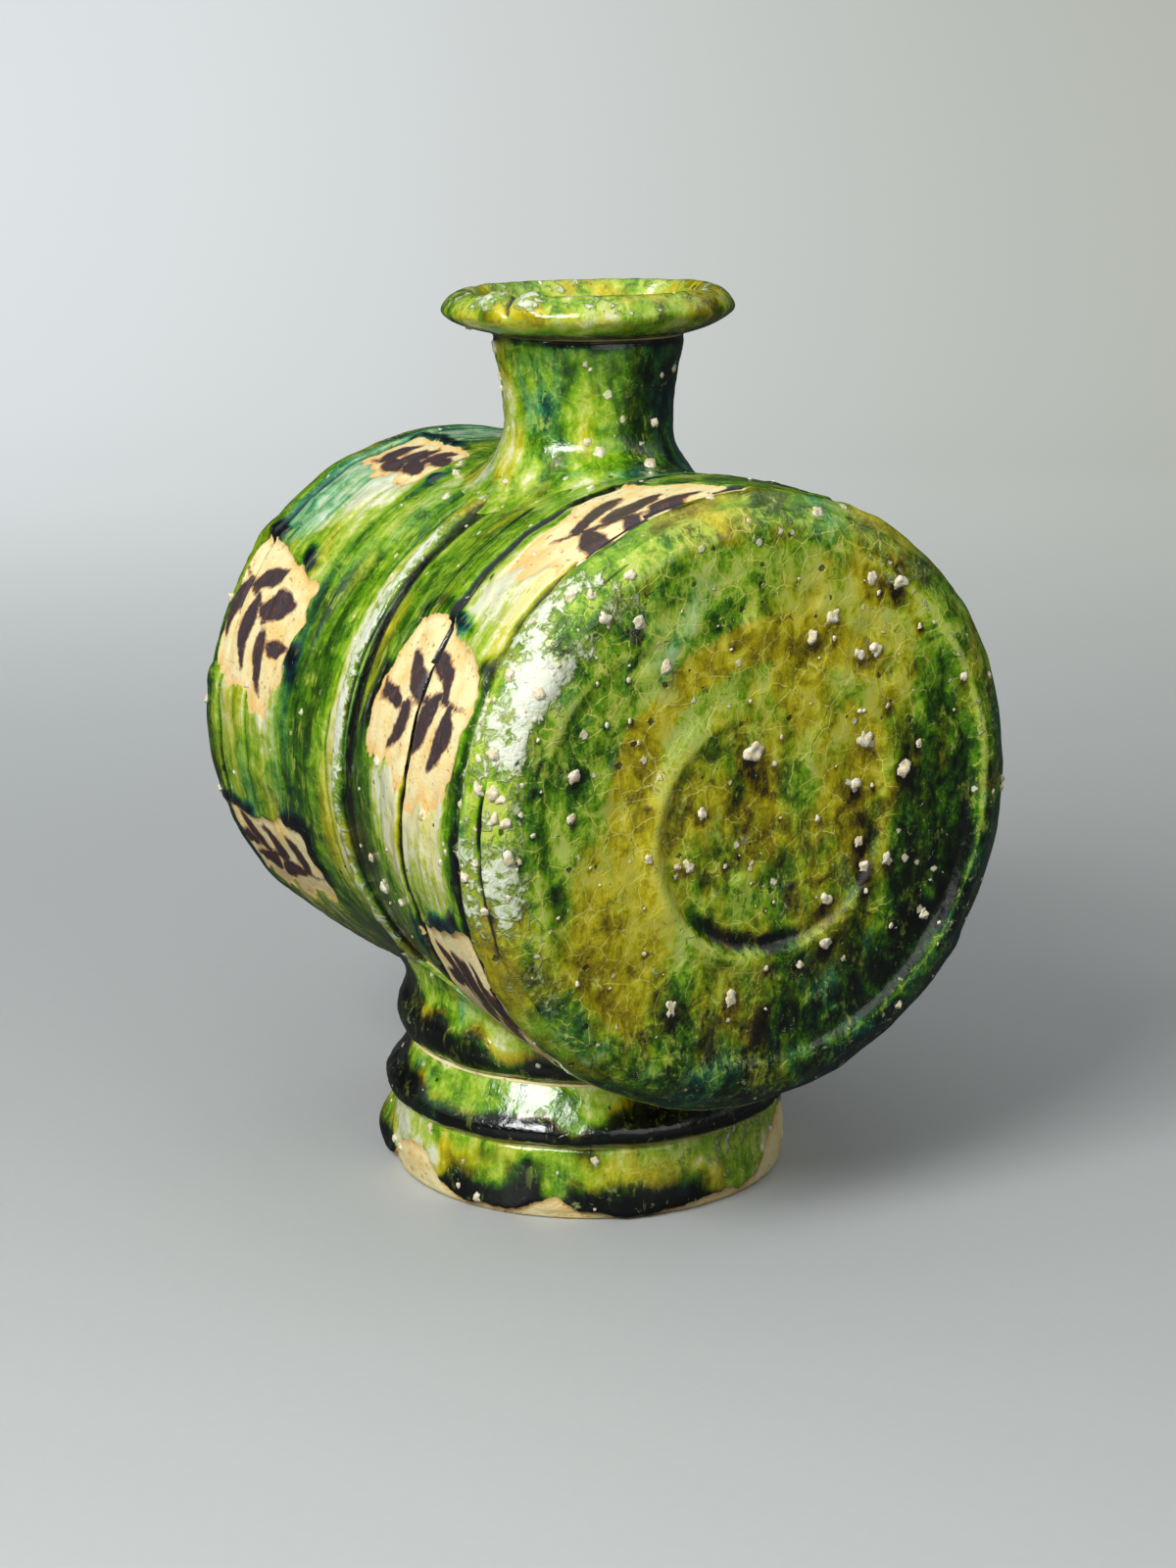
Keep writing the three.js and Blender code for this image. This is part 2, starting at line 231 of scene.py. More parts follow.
def make_piece(name, points, faces, uvs, fields, material):
    """Mesh object from a grid of points in millimetres, faces turned outwards, glaze fields on its points."""
    shape = points.shape[:-1]
    points = points.reshape(-1, 3)
    triangles = points[faces[:, [0, 1, 2, 0, 2, 3]]].reshape(-1, 3, 3)
    volume = np.einsum("ij,ij->i", triangles[:, 0], np.cross(triangles[:, 1], triangles[:, 2])).sum()
    if volume < 0:
        faces, uvs = faces[:, ::-1], uvs[:, ::-1]
    kept = faces != np.roll(faces, 1, axis=1)
    whole = kept.sum(1) > 2
    faces, uvs, kept = faces[whole], uvs[whole], kept[whole]
    used = np.unique(faces)
    renumber = np.zeros(len(points), np.int64)
    renumber[used] = np.arange(len(used))
    corners = [face[keep].tolist() for face, keep in zip(renumber[faces], kept)]
    mesh = bpy.data.meshes.new(name)
    mesh.from_pydata(points[used] * MM, [], corners)
    mesh.uv_layers.new(name="OFBake").data.foreach_set("uv", uvs[kept].astype(np.float32).ravel())
    for field, default in GLAZE_FIELDS.items():
        values = np.broadcast_to(fields.get(field, default), shape).reshape(-1)[used]
        mesh.attributes.new(field, "FLOAT", "POINT").data.foreach_set("value", values.astype(np.float32))
    return finish_mesh(mesh, material)


def seat_piece(piece, node):
    """The piece stands for its solid, whose mesh is hidden, and rides on the one rigid body."""
    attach(piece, "root")
    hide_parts(node)


def shown_grid(points, normals, shown):
    """The places of a turned grid that show, and their normals."""
    return points[shown].reshape(-1, 3), normals[shown].reshape(-1, 3)


def turned_piece(node, outline, shown, points, normals, relief, fields, material):
    """Makes a node's piece from its turned grid, raised and glazed where it shows; returns what shows."""
    raised = points + normals * (relief * shown[:, None])[..., None]
    fields = {"clay": np.where(shown[:, None], GLAZED_OVER, LEFT_BARE), **fields}
    turns = points.shape[1]
    faces, uvs = ring_faces(len(outline), turns), ring_uvs(outline, shown, turns)
    seat_piece(make_piece("glazed_" + node, raised, faces, uvs, fields, material), node)
    return shown_grid(raised, normals, shown)


def tone(red, green, blue):
    """Linear colour of an sRGB colour given from 0 to 255."""
    shares = [part / 255 for part in (red, green, blue)]
    return [*(s / 12.92 if s <= 0.04045 else ((s + 0.055) / 1.055) ** 2.4 for s in shares), 1]


def feed(tree, socket, value):
    """Gives a socket what it takes in: a link from another socket or a plain value."""
    if isinstance(value, bpy.types.NodeSocket):
        tree.links.new(value, socket)
    else:
        socket.default_value = value


def add(tree, kind, inputs=None, **settings):
    """A new node of a kind, with its settings made and its inputs fed."""
    node = tree.nodes.new(kind)
    for setting, value in settings.items():
        setattr(node, setting, value)
    for label, value in (inputs or {}).items():
        feed(tree, node.inputs[label], value)
    return node


def calculate(tree, operation, *values):
    """A value worked out from other values."""
    node = add(tree, "ShaderNodeMath", operation=operation)
    for socket, value in zip(node.inputs, values):
        feed(tree, socket, value)
    return node.outputs[0]


def combine(tree, operation, first, second):
    """A vector worked out from two vectors."""
    return add(tree, "ShaderNodeVectorMath", {0: first, 1: second}, operation=operation).outputs[0]


def weigh(tree, *terms):
    """Sum of (socket, factor) terms."""
    total = 0.0
    for socket, factor in terms:
        total = calculate(tree, "MULTIPLY_ADD", socket, factor, total)
    return total


def ease(tree, value, low, high):
    """Smooth step of a value from 0 at low to 1 at high."""
    limits = {"Value": value, "From Min": low, "From Max": high}
    return add(tree, "ShaderNodeMapRange", limits, interpolation_type="SMOOTHSTEP").outputs[0]


def paint(tree, share, under, over):
    """One colour over another by a share."""
    mix = add(tree, "ShaderNodeMix", data_type="RGBA")
    for socket, value in ((mix.inputs[0], share), (mix.inputs[6], under), (mix.inputs[7], over)):
        feed(tree, socket, value)
    return mix.outputs[2]


def between(tree, share, first, second):
    """A value between two values by a share."""
    mix = add(tree, "ShaderNodeMix", data_type="FLOAT")
    for socket, value in ((mix.inputs[0], share), (mix.inputs[2], first), (mix.inputs[3], second)):
        feed(tree, socket, value)
    return mix.outputs[0]


def shades(tree, value, stops):
    """Colour by a value from 0 to 1 through a list of (place, colour)."""
    ramp = add(tree, "ShaderNodeValToRGB", {"Fac": value})
    elements = ramp.color_ramp.elements
    elements.remove(elements[1])
    elements[0].position, elements[0].color = stops[0]
    for place, colour in stops[1:]:
        elements.new(place).color = colour
    return ramp.outputs["Color"]


def grain(tree, place, size, detail=3.0, roughness=0.55, swirl=0.0):
    """Noise texture with features of a size in millimetres, bent by a swirl."""
    settings = {"Vector": place, "Scale": 1 / size, "Detail": detail, "Roughness": roughness}
    settings["Distortion"] = swirl
    return add(tree, "ShaderNodeTexNoise", settings)


def start_group(name, inputs, outputs):
    """A new node group with named inputs and outputs, and the sockets for them inside it."""
    tree = bpy.data.node_groups.new(name, "ShaderNodeTree")
    for label, kind in inputs.items():
        tree.interface.new_socket(label, in_out="INPUT", socket_type="NodeSocket" + kind)
    for label, kind in outputs.items():
        tree.interface.new_socket(label, in_out="OUTPUT", socket_type="NodeSocket" + kind)
    return tree, tree.nodes.new("NodeGroupInput").outputs, tree.nodes.new("NodeGroupOutput").inputs


def finish_group(tree, outputs, results):
    """Feeds a group's outputs with what it has worked out."""
    for label, value in results.items():
        feed(tree, outputs[label], value)
    return tree


GREEN_DEPTHS = [
    (0.0, tone(238, 240, 206)), (0.08, tone(208, 220, 128)), (0.18, tone(178, 204, 66)),
    (0.28, tone(140, 182, 30)), (0.38, tone(104, 156, 14)), (0.5, tone(64, 114, 6)),
    (0.64, tone(34, 74, 3)), (0.8, tone(12, 30, 6)), (1.0, tone(3, 6, 4)),
]
AMBER_DEPTHS = [
    (0.0, tone(244, 234, 150)), (0.1, tone(222, 214, 76)), (0.22, tone(204, 192, 24)),
    (0.34, tone(178, 166, 5)), (0.48, tone(144, 132, 2)), (0.62, tone(104, 90, 0)),
    (0.78, tone(46, 36, 2)), (1.0, tone(8, 6, 3)),
]
TEAL_DEPTHS = [
    (0.0, tone(222, 238, 212)), (0.18, tone(148, 204, 142)), (0.38, tone(58, 146, 98)),
    (0.56, tone(10, 90, 74)), (0.78, tone(4, 42, 46)), (1.0, tone(3, 9, 12)),
]
MILK_TONE = tone(192, 214, 80)


def glaze_depth_group():
    """Colour of the running glaze by its depth, curdled and drawn out along its run."""
    tree, source, result = start_group(
        "glaze_depth",
        {"Place": "Vector", "Run": "Vector", "Pool": "Float", "Amber": "Float", "Teal": "Float",
         "Milk": "Float", "Curd": "Float", "Thinnest": "Float"},
        {"Colour": "Color", "Roughness": "Float", "Height": "Float", "Depth": "Float"},
    )
    place = source["Place"]
    runs = combine(tree, "MULTIPLY", place, source["Run"])
    streak = grain(tree, runs, 6.0, 3, 0.5, 0.6)
    thread = grain(tree, runs, 1.3, 3, 0.6).outputs["Fac"]
    curd = grain(tree, place, 4.6, 4, 0.54, 0.8).outputs["Fac"]
    fine = grain(tree, place, 0.6, 3, 0.6).outputs["Fac"]
    tint = add(tree, "ShaderNodeSeparateColor", {"Color": streak.outputs["Color"]}).outputs
    flow = weigh(tree, (streak.outputs["Fac"], 1.0), (curd, 1.4), (thread, 0.8), (fine, 0.5))
    flow = calculate(tree, "SUBTRACT", flow, 1.85)
    depth = calculate(tree, "MULTIPLY_ADD", flow, source["Curd"], source["Pool"])
    depth = calculate(tree, "SMOOTH_MAX", depth, source["Thinnest"], 0.3)
    level = calculate(tree, "MULTIPLY_ADD", depth, 0.5, 0.5)
    amber = ease(tree, calculate(tree, "MULTIPLY_ADD", tint[1], 1.1, source["Amber"]), 0.72, 1.28)
    teal = ease(tree, calculate(tree, "MULTIPLY_ADD", tint[2], 1.1, source["Teal"]), 0.72, 1.28)
    colour = paint(tree, amber, shades(tree, level, GREEN_DEPTHS), shades(tree, level, AMBER_DEPTHS))
    colour = paint(tree, teal, colour, shades(tree, level, TEAL_DEPTHS))
    wisp = grain(tree, runs, 1.2, 4, 0.66, 0.5).outputs["Fac"]
    patch = grain(tree, place, 6.5, 3, 0.5, 0.6).outputs["Fac"]
    milky = ease(tree, weigh(tree, (wisp, 1.0), (patch, 1.0), (source["Milk"], 1.0)), 1.12, 1.3)
    milky = calculate(tree, "MULTIPLY", milky, between(tree, ease(tree, depth, 0.0, 0.7), 0.6, 0.16))
    colour = paint(tree, milky, colour, MILK_TONE)
    gloss = ease(tree, depth, -0.9, 0.4)
    return finish_group(tree, result, {
        "Colour": colour,
        "Roughness": between(tree, gloss, 0.2, 0.07),
        "Height": weigh(tree, (curd, 0.4), (thread, 0.08), (fine, 0.07)),
        "Depth": depth,
    })


CRAZE_WANDER = (3.4, 3.4, 3.4)


def craze_group():
    """Fine net of cracks in the glaze, which covers a share of the surface."""
    tree, source, result = start_group(
        "craze_net",
        {"Place": "Vector", "Cell": "Float", "Width": "Float", "Bare": "Float"},
        {"Mask": "Float"},
    )
    wander = grain(tree, source["Place"], 6.0, 3).outputs["Color"]
    bent = combine(tree, "ADD", source["Place"], combine(tree, "MULTIPLY", wander, CRAZE_WANDER))
    pitch = calculate(tree, "DIVIDE", 1.0, source["Cell"])
    settings = {"Vector": bent, "Scale": pitch}
    net = add(tree, "ShaderNodeTexVoronoi", settings, feature="DISTANCE_TO_EDGE").outputs["Distance"]
    away = calculate(tree, "MULTIPLY", net, source["Cell"])
    line = calculate(tree, "SUBTRACT", 1.0, ease(tree, away, 0.0, source["Width"]))
    spread = grain(tree, source["Place"], 5.0, 3).outputs["Fac"]
    patch = ease(tree, spread, source["Bare"], calculate(tree, "ADD", source["Bare"], 0.14))
    return finish_group(tree, result, {"Mask": calculate(tree, "MULTIPLY", line, patch)})


def speck_group():
    """Scattered dots: some cells of a given width hold a dot, each of its own size."""
    tree, source, result = start_group(
        "specks",
        {"Place": "Vector", "Cell": "Float", "Share": "Float"},
        {"Mask": "Float"},
    )
    pitch = calculate(tree, "DIVIDE", 1.0, source["Cell"])
    jitter = grain(tree, source["Place"], 0.9, 1).outputs["Color"]
    bent = combine(tree, "ADD", jitter, source["Place"])
    dots = add(tree, "ShaderNodeTexVoronoi", {"Vector": bent, "Scale": pitch}, feature="F1").outputs
    chance = add(tree, "ShaderNodeSeparateColor", {"Color": dots["Color"]}).outputs
    size = calculate(tree, "MULTIPLY_ADD", chance[1], 0.2, 0.05)
    inside = calculate(tree, "SUBTRACT", 1.0, calculate(tree, "DIVIDE", dots["Distance"], size))
    chosen = calculate(tree, "LESS_THAN", chance[0], source["Share"])
    mask = calculate(tree, "MULTIPLY", ease(tree, inside, 0.0, 0.35), chosen)
    return finish_group(tree, result, {"Mask": mask})


def buff_clay_group():
    """Dry buff earthenware with warm blotches, pores and sand."""
    tree, source, result = start_group(
        "buff_clay",
        {"Place": "Vector"},
        {"Colour": "Color", "Height": "Float"},
    )
    blotch = ease(tree, grain(tree, source["Place"], 7.0, 3).outputs["Fac"], 0.42, 0.68)
    sand = grain(tree, source["Place"], 0.7, 4, 0.7).outputs["Fac"]
    pore = ease(tree, grain(tree, source["Place"], 1.6, 3).outputs["Fac"], 0.62, 0.72)
    colour = paint(tree, blotch, tone(255, 240, 178), tone(252, 216, 132))
    colour = paint(tree, ease(tree, sand, 0.52, 0.8), colour, tone(254, 243, 212))
    colour = paint(tree, calculate(tree, "MULTIPLY", pore, 0.7), colour, tone(190, 128, 62))
    return finish_group(tree, result, {
        "Colour": colour,
        "Height": weigh(tree, (sand, 0.4), (pore, -0.25)),
    })


GLAZE_DEPTH = glaze_depth_group()
CRAZE_NET = craze_group()
SPECKS = speck_group()
BUFF_CLAY = buff_clay_group()
LEAD_GLAZE_IOR = 1.6
GLAZE_COAT = 0.5
GLAZE_COAT_ROUGHNESS = 0.05
DOWN_RUN = (1, 1, 0.24)
CRAZE_TONE = tone(230, 224, 112)
CRACK_TONE = tone(20, 20, 8)
SPECK_TONE = tone(236, 228, 194)
PIT_TONE = tone(16, 14, 6)
CRUST_TONE = tone(232, 237, 214)
CRUST_STAIN_TONE = tone(174, 200, 112)
BRUSH_TONE = tone(68, 54, 56)
WORN_BRUSH_TONE = tone(108, 64, 50)
RUST_TONE = tone(150, 78, 30)
CLAY_STAIN_TONE = tone(236, 172, 78)


def start_material(name):
    """A new material, its node tree and its shader."""
    material = bpy.data.materials.new(name)
    material.use_nodes = True
    return material, material.node_tree, material.node_tree.nodes["Principled BSDF"]


def place_mm(tree):
    """The place on a piece, in millimetres."""
    scale = {"Vector": add(tree, "ShaderNodeTexCoord").outputs["Object"], "Scale": 1 / MM}
    return add(tree, "ShaderNodeVectorMath", scale, operation="SCALE").outputs[0]


def glazed(name, run=DOWN_RUN, curd=1.0, craze=0.5, speck_share=0.16, thinnest=-1.5):
    """Green lead glaze over buff clay, with bare clay and brushed slip where the piece's fields say so."""
    material, tree, shader = start_material(name)
    field = {key: add(tree, "ShaderNodeAttribute", attribute_name=key).outputs["Fac"] for key in GLAZE_FIELDS}
    place = place_mm(tree)

    def spread(group, **settings):
        return add(tree, "ShaderNodeGroup", {"Place": place, **settings}, node_tree=group).outputs

    tints = {label: field[label.lower()] for label in ("Pool", "Amber", "Teal", "Milk")}
    depth = spread(GLAZE_DEPTH, Run=run, Curd=curd, Thinnest=thinnest, **tints)
    thin = calculate(tree, "SUBTRACT", 1.0, ease(tree, depth["Depth"], -0.35, 0.3))
    net = calculate(tree, "MULTIPLY", spread(CRAZE_NET, Cell=5.6, Width=0.17, Bare=0.36)["Mask"], thin)
    net = calculate(tree, "MULTIPLY", net, craze)
    crack = spread(CRAZE_NET, Cell=9.0, Width=0.24, Bare=0.58)["Mask"]
    dots = spread(SPECKS, Cell=4.6, Share=speck_share)["Mask"]
    pits = spread(SPECKS, Cell=3.7, Share=speck_share * 0.5)["Mask"]
    colour = paint(tree, net, depth["Colour"], CRAZE_TONE)
    colour = paint(tree, calculate(tree, "MULTIPLY", crack, 0.7), colour, CRACK_TONE)
    colour = paint(tree, calculate(tree, "MULTIPLY", pits, 0.8), colour, PIT_TONE)
    colour = paint(tree, calculate(tree, "MULTIPLY", dots, 0.85), colour, SPECK_TONE)

    flake = grain(tree, place, 2.2, 5, 0.65, 0.6).outputs["Fac"]
    crust_level = weigh(tree, (field["crust"], 1.0), (flake, 2.2))
    crust = ease(tree, crust_level, 1.4, 1.72)
    crust_crack = spread(CRAZE_NET, Cell=7.0, Width=0.5, Bare=0.58)["Mask"]
    crust_colour = paint(tree, ease(tree, crust_level, 1.55, 1.95), CRUST_STAIN_TONE, CRUST_TONE)
    crust_colour = paint(tree, crust_crack, crust_colour, CRACK_TONE)
    colour = paint(tree, crust, colour, crust_colour)

    clay = spread(BUFF_CLAY)
    ragged = grain(tree, place, 1.1, 3, 0.6).outputs["Fac"]
    bare = ease(tree, weigh(tree, (field["clay"], 1.0), (ragged, 1.2)), 0.45, 0.75)
    stain = calculate(tree, "MULTIPLY", ease(tree, field["clay"], 2.0, 0.1), 0.5)
    stroke_depth = weigh(tree, (field["brush"], 1.0), (ragged, 1.6))
    stroke = ease(tree, stroke_depth, 0.6, 1.1)
    rust = ease(tree, stroke_depth, 0.0, 0.7)
    slip = paint(tree, ease(tree, flake, 0.52, 0.66), BRUSH_TONE, WORN_BRUSH_TONE)
    bare_colour = paint(tree, stain, clay["Colour"], CLAY_STAIN_TONE)
    bare_colour = paint(tree, calculate(tree, "MULTIPLY", rust, 0.7), bare_colour, RUST_TONE)
    bare_colour = paint(tree, stroke, bare_colour, slip)
    feed(tree, shader.inputs["Base Color"], paint(tree, bare, colour, bare_colour))

    roughness = between(tree, crust, depth["Roughness"], 0.42)
    roughness = between(tree, dots, roughness, 0.6)
    dry = between(tree, stroke, 0.85, 0.42)
    feed(tree, shader.inputs["Roughness"], between(tree, bare, roughness, dry))
    dull = calculate(tree, "MAXIMUM", bare, calculate(tree, "MULTIPLY", crust, 0.7))
    feed(tree, shader.inputs["Coat Weight"], between(tree, dull, GLAZE_COAT, 0.0))
    shader.inputs["Coat Roughness"].default_value = GLAZE_COAT_ROUGHNESS
    crust_height = weigh(tree, (flake, 0.8), (crust_crack, -0.4))
    glaze_height = weigh(
        tree, (depth["Height"], 1.0), (dots, 0.3), (pits, -0.35), (net, -0.05), (crack, -0.12),
        (calculate(tree, "MULTIPLY", crust, crust_height), 1.0),
    )
    clay_height = weigh(tree, (clay["Height"], 1.0), (stroke, 0.12))
    height = between(tree, bare, glaze_height, clay_height)
    bump = add(tree, "ShaderNodeBump", {"Height": height, "Distance": MM, "Strength": 0.9})
    feed(tree, shader.inputs["Normal"], bump.outputs["Normal"])
    shader.inputs["IOR"].default_value = LEAD_GLAZE_IOR
    return material


foot_high = box_mm("foot_ring")[1]
foot_radius = foot_high[0]
foot_top = foot_high[2] + JOINT_LAP
foot_joint_radius = foot_radius - FOOT_JOINT_INSET
foot_inner = foot_radius - FOOT_WALL
foot_outline, foot_shown = chained(
    ([(foot_radius - 0.4 * FOOT_EDGE_ROUND, 1.2 * FOOT_EDGE_ROUND), (foot_radius, FOOT_BELLY_HEIGHT),
      (foot_joint_radius, foot_top)], FOOT_STEP, True),
    ([(foot_inner - FOOT_JOINT_INSET, foot_top)], HIDDEN_STEP, False),
    ([(foot_inner, FOOT_EDGE_ROUND)], HIDDEN_STEP, False),
    ([(foot_inner + FOOT_EDGE_ROUND, 0)], FOOT_EDGE_ROUND, False),
    ([(foot_radius - FOOT_EDGE_ROUND, 0)], HIDDEN_STEP / 2, False),
)
points, normals, degrees = turned(foot_outline, FOOT_TURNS, UPRIGHT)
height = points[..., 2]
glaze_edge = np.interp(degrees, *np.transpose(FOOT_GLAZE_EDGE), period=360) + 0.7 * cloud(points, 4, 11)
above_edge = height - glaze_edge
dry_side = swell(turn_offset(degrees, FOOT_DRY_ANGLE), FOOT_DRY_HALF_TURN) + 0 * height
dripping = smooth(6.5, 2, glaze_edge) * (1 - 0.8 * dry_side)
climb = np.clip(above_edge * (1 + 0.5 * cloud(points, 8, 35, 2)), 0, None)
run_down = dripping * np.exp(-climb / DRIP_FADE)
hanging = swell(turn_offset(degrees, HANGING_DRIP_ANGLE), HANGING_DRIP_HALF_TURN)
hanging = hanging * swell(height - HANGING_DRIP_HEIGHT, HANGING_DRIP_HALF_LENGTH)
relief = smooth(-0.4, 0.7, above_edge) * (0.25 + 1.3 * run_down) + HANGING_DRIP_BULGE * hanging
chipped = smooth(0.2, 0.9, cloud(points, 6, 31)) * smooth(3, 0, height)
relief = (relief + 0.25 * cloud(points, 9, 21) - 0.7 * chipped) * smooth(0, 1, height)
foot_fields = {
    "pool": -0.46 + 0.4 * cloud(points, 9, 41) + 1.7 * smooth(0.2, 0.66, run_down) + hanging,
    "amber": -0.02 + 0.5 * swell(run_down - 0.3, 0.3) + 0.35 * cloud(points, 12, 51),
    "teal": 0.08 + 0.3 * cloud(points, 14, 61),
    "crust": 0.34 * dry_side + 0.25 * cloud(points, 6, 71),
    "clay": np.where(foot_shown[:, None], -above_edge, LEFT_BARE),
}
foot_grid = turned_piece(
    "foot_ring", foot_outline, foot_shown, points, normals, relief, foot_fields,
    glazed("foot_ring_glaze", craze=0.2, speck_share=0.22),
)


# PEDESTAL
# The middle ring of the foot, thrown with a heavy bead low down and luted to the ring below with slip.
# Glaze thins to a pale line at both joints and pools black under the bead; the shadow under the drum's right
# end is painted dark on its front right.

PEDESTAL_BEAD_HEIGHT = 4.1
PEDESTAL_NECK_INSET = 4.9
PEDESTAL_INNER_TAPER = 3
PEDESTAL_SEED = 110
# Where the foot is darkest: angle and how far it spreads round from there. The first is where the glaze pools
# deepest; the second, at the front right, is the shadow under the drum's right end, painted on
PEDESTAL_POOLS_AND_SHADOW = [(-116, 62), (-4, 30)]
pedestal_low, pedestal_high = box_mm("pedestal")
pedestal_base = pedestal_low[2] - JOINT_LAP
pedestal_top = pedestal_high[2] + JOINT_LAP
pedestal_radius = pedestal_high[0]
pedestal_neck_radius = pedestal_radius - PEDESTAL_NECK_INSET
pedestal_inner = foot_joint_radius - FOOT_WALL
pedestal_outline, pedestal_shown = chained(
    ([(pedestal_radius, pedestal_base + PEDESTAL_BEAD_HEIGHT), (pedestal_neck_radius, pedestal_top)],
     FOOT_STEP, True),
    ([(pedestal_inner - PEDESTAL_INNER_TAPER, pedestal_top)], HIDDEN_STEP, False),
    ([(pedestal_inner, pedestal_base)], HIDDEN_STEP, False),
    ([(foot_joint_radius, pedestal_base)], HIDDEN_STEP, False),
)


def tier_glaze(points, base, rise, degrees, seed, pool_and_shadow_angles):
    """Relief and fields of a foot tier: pale at its joints, black low down, most near given angles of pooled
    glaze and of painted shadow.
    """
    up = (points[..., 2] - base) / rise
    pools = sum(swell(turn_offset(degrees, angle), half_turn) for angle, half_turn in pool_and_shadow_angles)
    level = 0.16 + 0.3 * cloud(points * (1, 1, 0), 17, seed) + 0.8 * pools
    pooled = smooth(level + 0.24, level - 0.1, up) * smooth(0.0, 0.08, up)
    joint = swell(up, 0.1) + swell(up - 1, 0.1)
    broken = smooth(-0.3, 0.4, cloud(points, 8, seed + 2))
    relief = 0.9 * pooled * swell(up - 0.22, 0.4) + 0.3 * cloud(points, 8, seed + 3) - 0.3 * joint
    fields = {
        "pool": -0.4 + 0.42 * cloud(points, 9, seed + 5) + 1.5 * pooled - 0.5 * joint * broken,
        "amber": 0.02 + 0.5 * swell(pooled - 0.4, 0.45) + 0.35 * cloud(points, 12, seed + 7),
        "teal": 0.1 + 0.3 * cloud(points, 13, seed + 9),
        "crust": 0.45 * joint * broken + 0.2 * cloud(points, 6, seed + 11),
    }
    return relief, fields


points, normals, degrees = turned(pedestal_outline, FOOT_TURNS, UPRIGHT)
pedestal_rise = pedestal_top - pedestal_base
relief, pedestal_fields = tier_glaze(
    points, pedestal_base, pedestal_rise, degrees, PEDESTAL_SEED, PEDESTAL_POOLS_AND_SHADOW,
)
pedestal_grid = turned_piece(
    "pedestal", pedestal_outline, pedestal_shown, points, normals, relief, pedestal_fields,
    glazed("pedestal_glaze", craze=0.2, speck_share=0.2),
)


# FOOT COLLAR
# The top ring of the foot, swelling under the drum and cut to its round underside.
# It is luted on with slip that was smoothed up the drum, so that the two flow together.

COLLAR_STEP = 0.55
COLLAR_SIDE_STEP = 0.5
COLLAR_BULGE_HEIGHT = 7
COLLAR_STEM_HEIGHT = 14
COLLAR_STEM_INSET = 1.8
COLLAR_REACH = 24
COLLAR_RISE = 21
COLLAR_SINK = 1.2
COLLAR_FILLET = 3.4
COLLAR_FILLET_FADE = 2.2
COLLAR_POOLS = [(-118, 46)]
COLLAR_SEED = 210
RIM_ROLL = 4
COIL_CROWN = 1.2
half_boxes = {1: box_mm("drum_half_right"), -1: box_mm("drum_half_left")}
drum_axis = half_boxes[1][0][2] / 2 + half_boxes[1][1][2] / 2
girth_radius = box_mm("girth_coil")[1][1] - COIL_CROWN
half_radius = {side: (high[2] - low[2]) / 2 for side, (low, high) in half_boxes.items()}
half_length = {side: max(abs(low[0]), abs(high[0])) for side, (low, high) in half_boxes.items()}


def wall_radius(along, side):
    """Outside radius of a drum half at a distance from the girth: drawn in there, swelling to the rim."""
    full = smooth(0, half_length[side] - RIM_ROLL, along)
    return half_radius[side] - (half_radius[side] - girth_radius) * (1 - full) ** 2


def drum_reach(x, y):
    """How far the drum's surface lies above and below its axis at a place in plan."""
    radius = np.where(x > 0, wall_radius(np.abs(x), 1), wall_radius(np.abs(x), -1))
    return np.sqrt(np.clip(radius ** 2 - y ** 2, 0, None))


def in_plan(points):
    """Distance and unit direction of each point from the upright axis."""
    reach = np.linalg.norm(points[..., :2], axis=-1)
    return reach, points[..., :2] / reach[..., None]


collar_low, collar_high = box_mm("foot_collar")
collar_base = collar_low[2] - JOINT_LAP
collar_bulge = collar_high[1]
collar_stem = collar_bulge - COLLAR_STEM_INSET
collar_inner = pedestal_neck_radius - FOOT_WALL
collar_side = [
    (pedestal_neck_radius, 0), (collar_bulge, COLLAR_BULGE_HEIGHT), (collar_stem, COLLAR_STEM_HEIGHT),
    (collar_stem, COLLAR_REACH),
]
collar_outline, collar_shown = chained(
    (collar_side[1:], COLLAR_STEP, True),
    ([(collar_inner, COLLAR_REACH)], HIDDEN_STEP, False),
    ([(collar_inner, 0)], HIDDEN_STEP * 0.75, False),
    (collar_side[:1], HIDDEN_STEP, False),
)
points, normals, degrees = turned(collar_outline, FOOT_TURNS, UPRIGHT)
# The outline is stretched at each angle to reach from the pedestal up to the drum's underside there
space = drum_axis - drum_reach(points[..., 0], points[..., 1]) + COLLAR_SINK - collar_base
rise = space * points[..., 2] / COLLAR_REACH
side_radius, side_height = through(collar_side, COLLAR_SIDE_STEP).T
collar_radius = np.interp(rise, side_height, side_radius)
fillet = COLLAR_FILLET * np.exp(-(space - rise) / COLLAR_FILLET_FADE)
reach, spoke = in_plan(points)
reach = np.where(collar_shown[:, None], collar_radius + fillet, reach)
points = np.concatenate([spoke * reach[..., None], (collar_base + rise)[..., None]], -1)
relief, collar_fields = tier_glaze(points, collar_base, COLLAR_RISE, degrees, COLLAR_SEED, COLLAR_POOLS)
relief = relief * smooth(0, 2.5, space - rise)
collar_grid = turned_piece(
    "foot_collar", collar_outline, collar_shown, points, normals, relief, collar_fields,
    glazed("foot_collar_glaze", craze=0.2, speck_share=0.18),
)


# DRUM HALVES
# Two bowls thrown in buff earthenware and luted mouth to mouth, with lines turned into them on the wheel.
# Panels were kept free of glaze and brushed with leaves in dark iron slip; glaze ran over their edges.

DRUM_TURNS = 520
WALL_STEP = 0.8
INNER_STEP = 7
ROUND_STEPS = 9
DRUM_WALL = 5.5
GIRTH_GAP = 0.05
RIM_WIDTH = 4.2
SEAT_DEPTH = 2.8
SLIP_FILLET = 1.5
LEDGE_WIDTH = 5
LEDGE_THICKNESS = 3
HATCH_LENGTH = 16
HATCH_MARGIN = 3
HATCH_DEGREES = 15
PANEL_CORNER = 3
GLAZE_STEP = 0.35
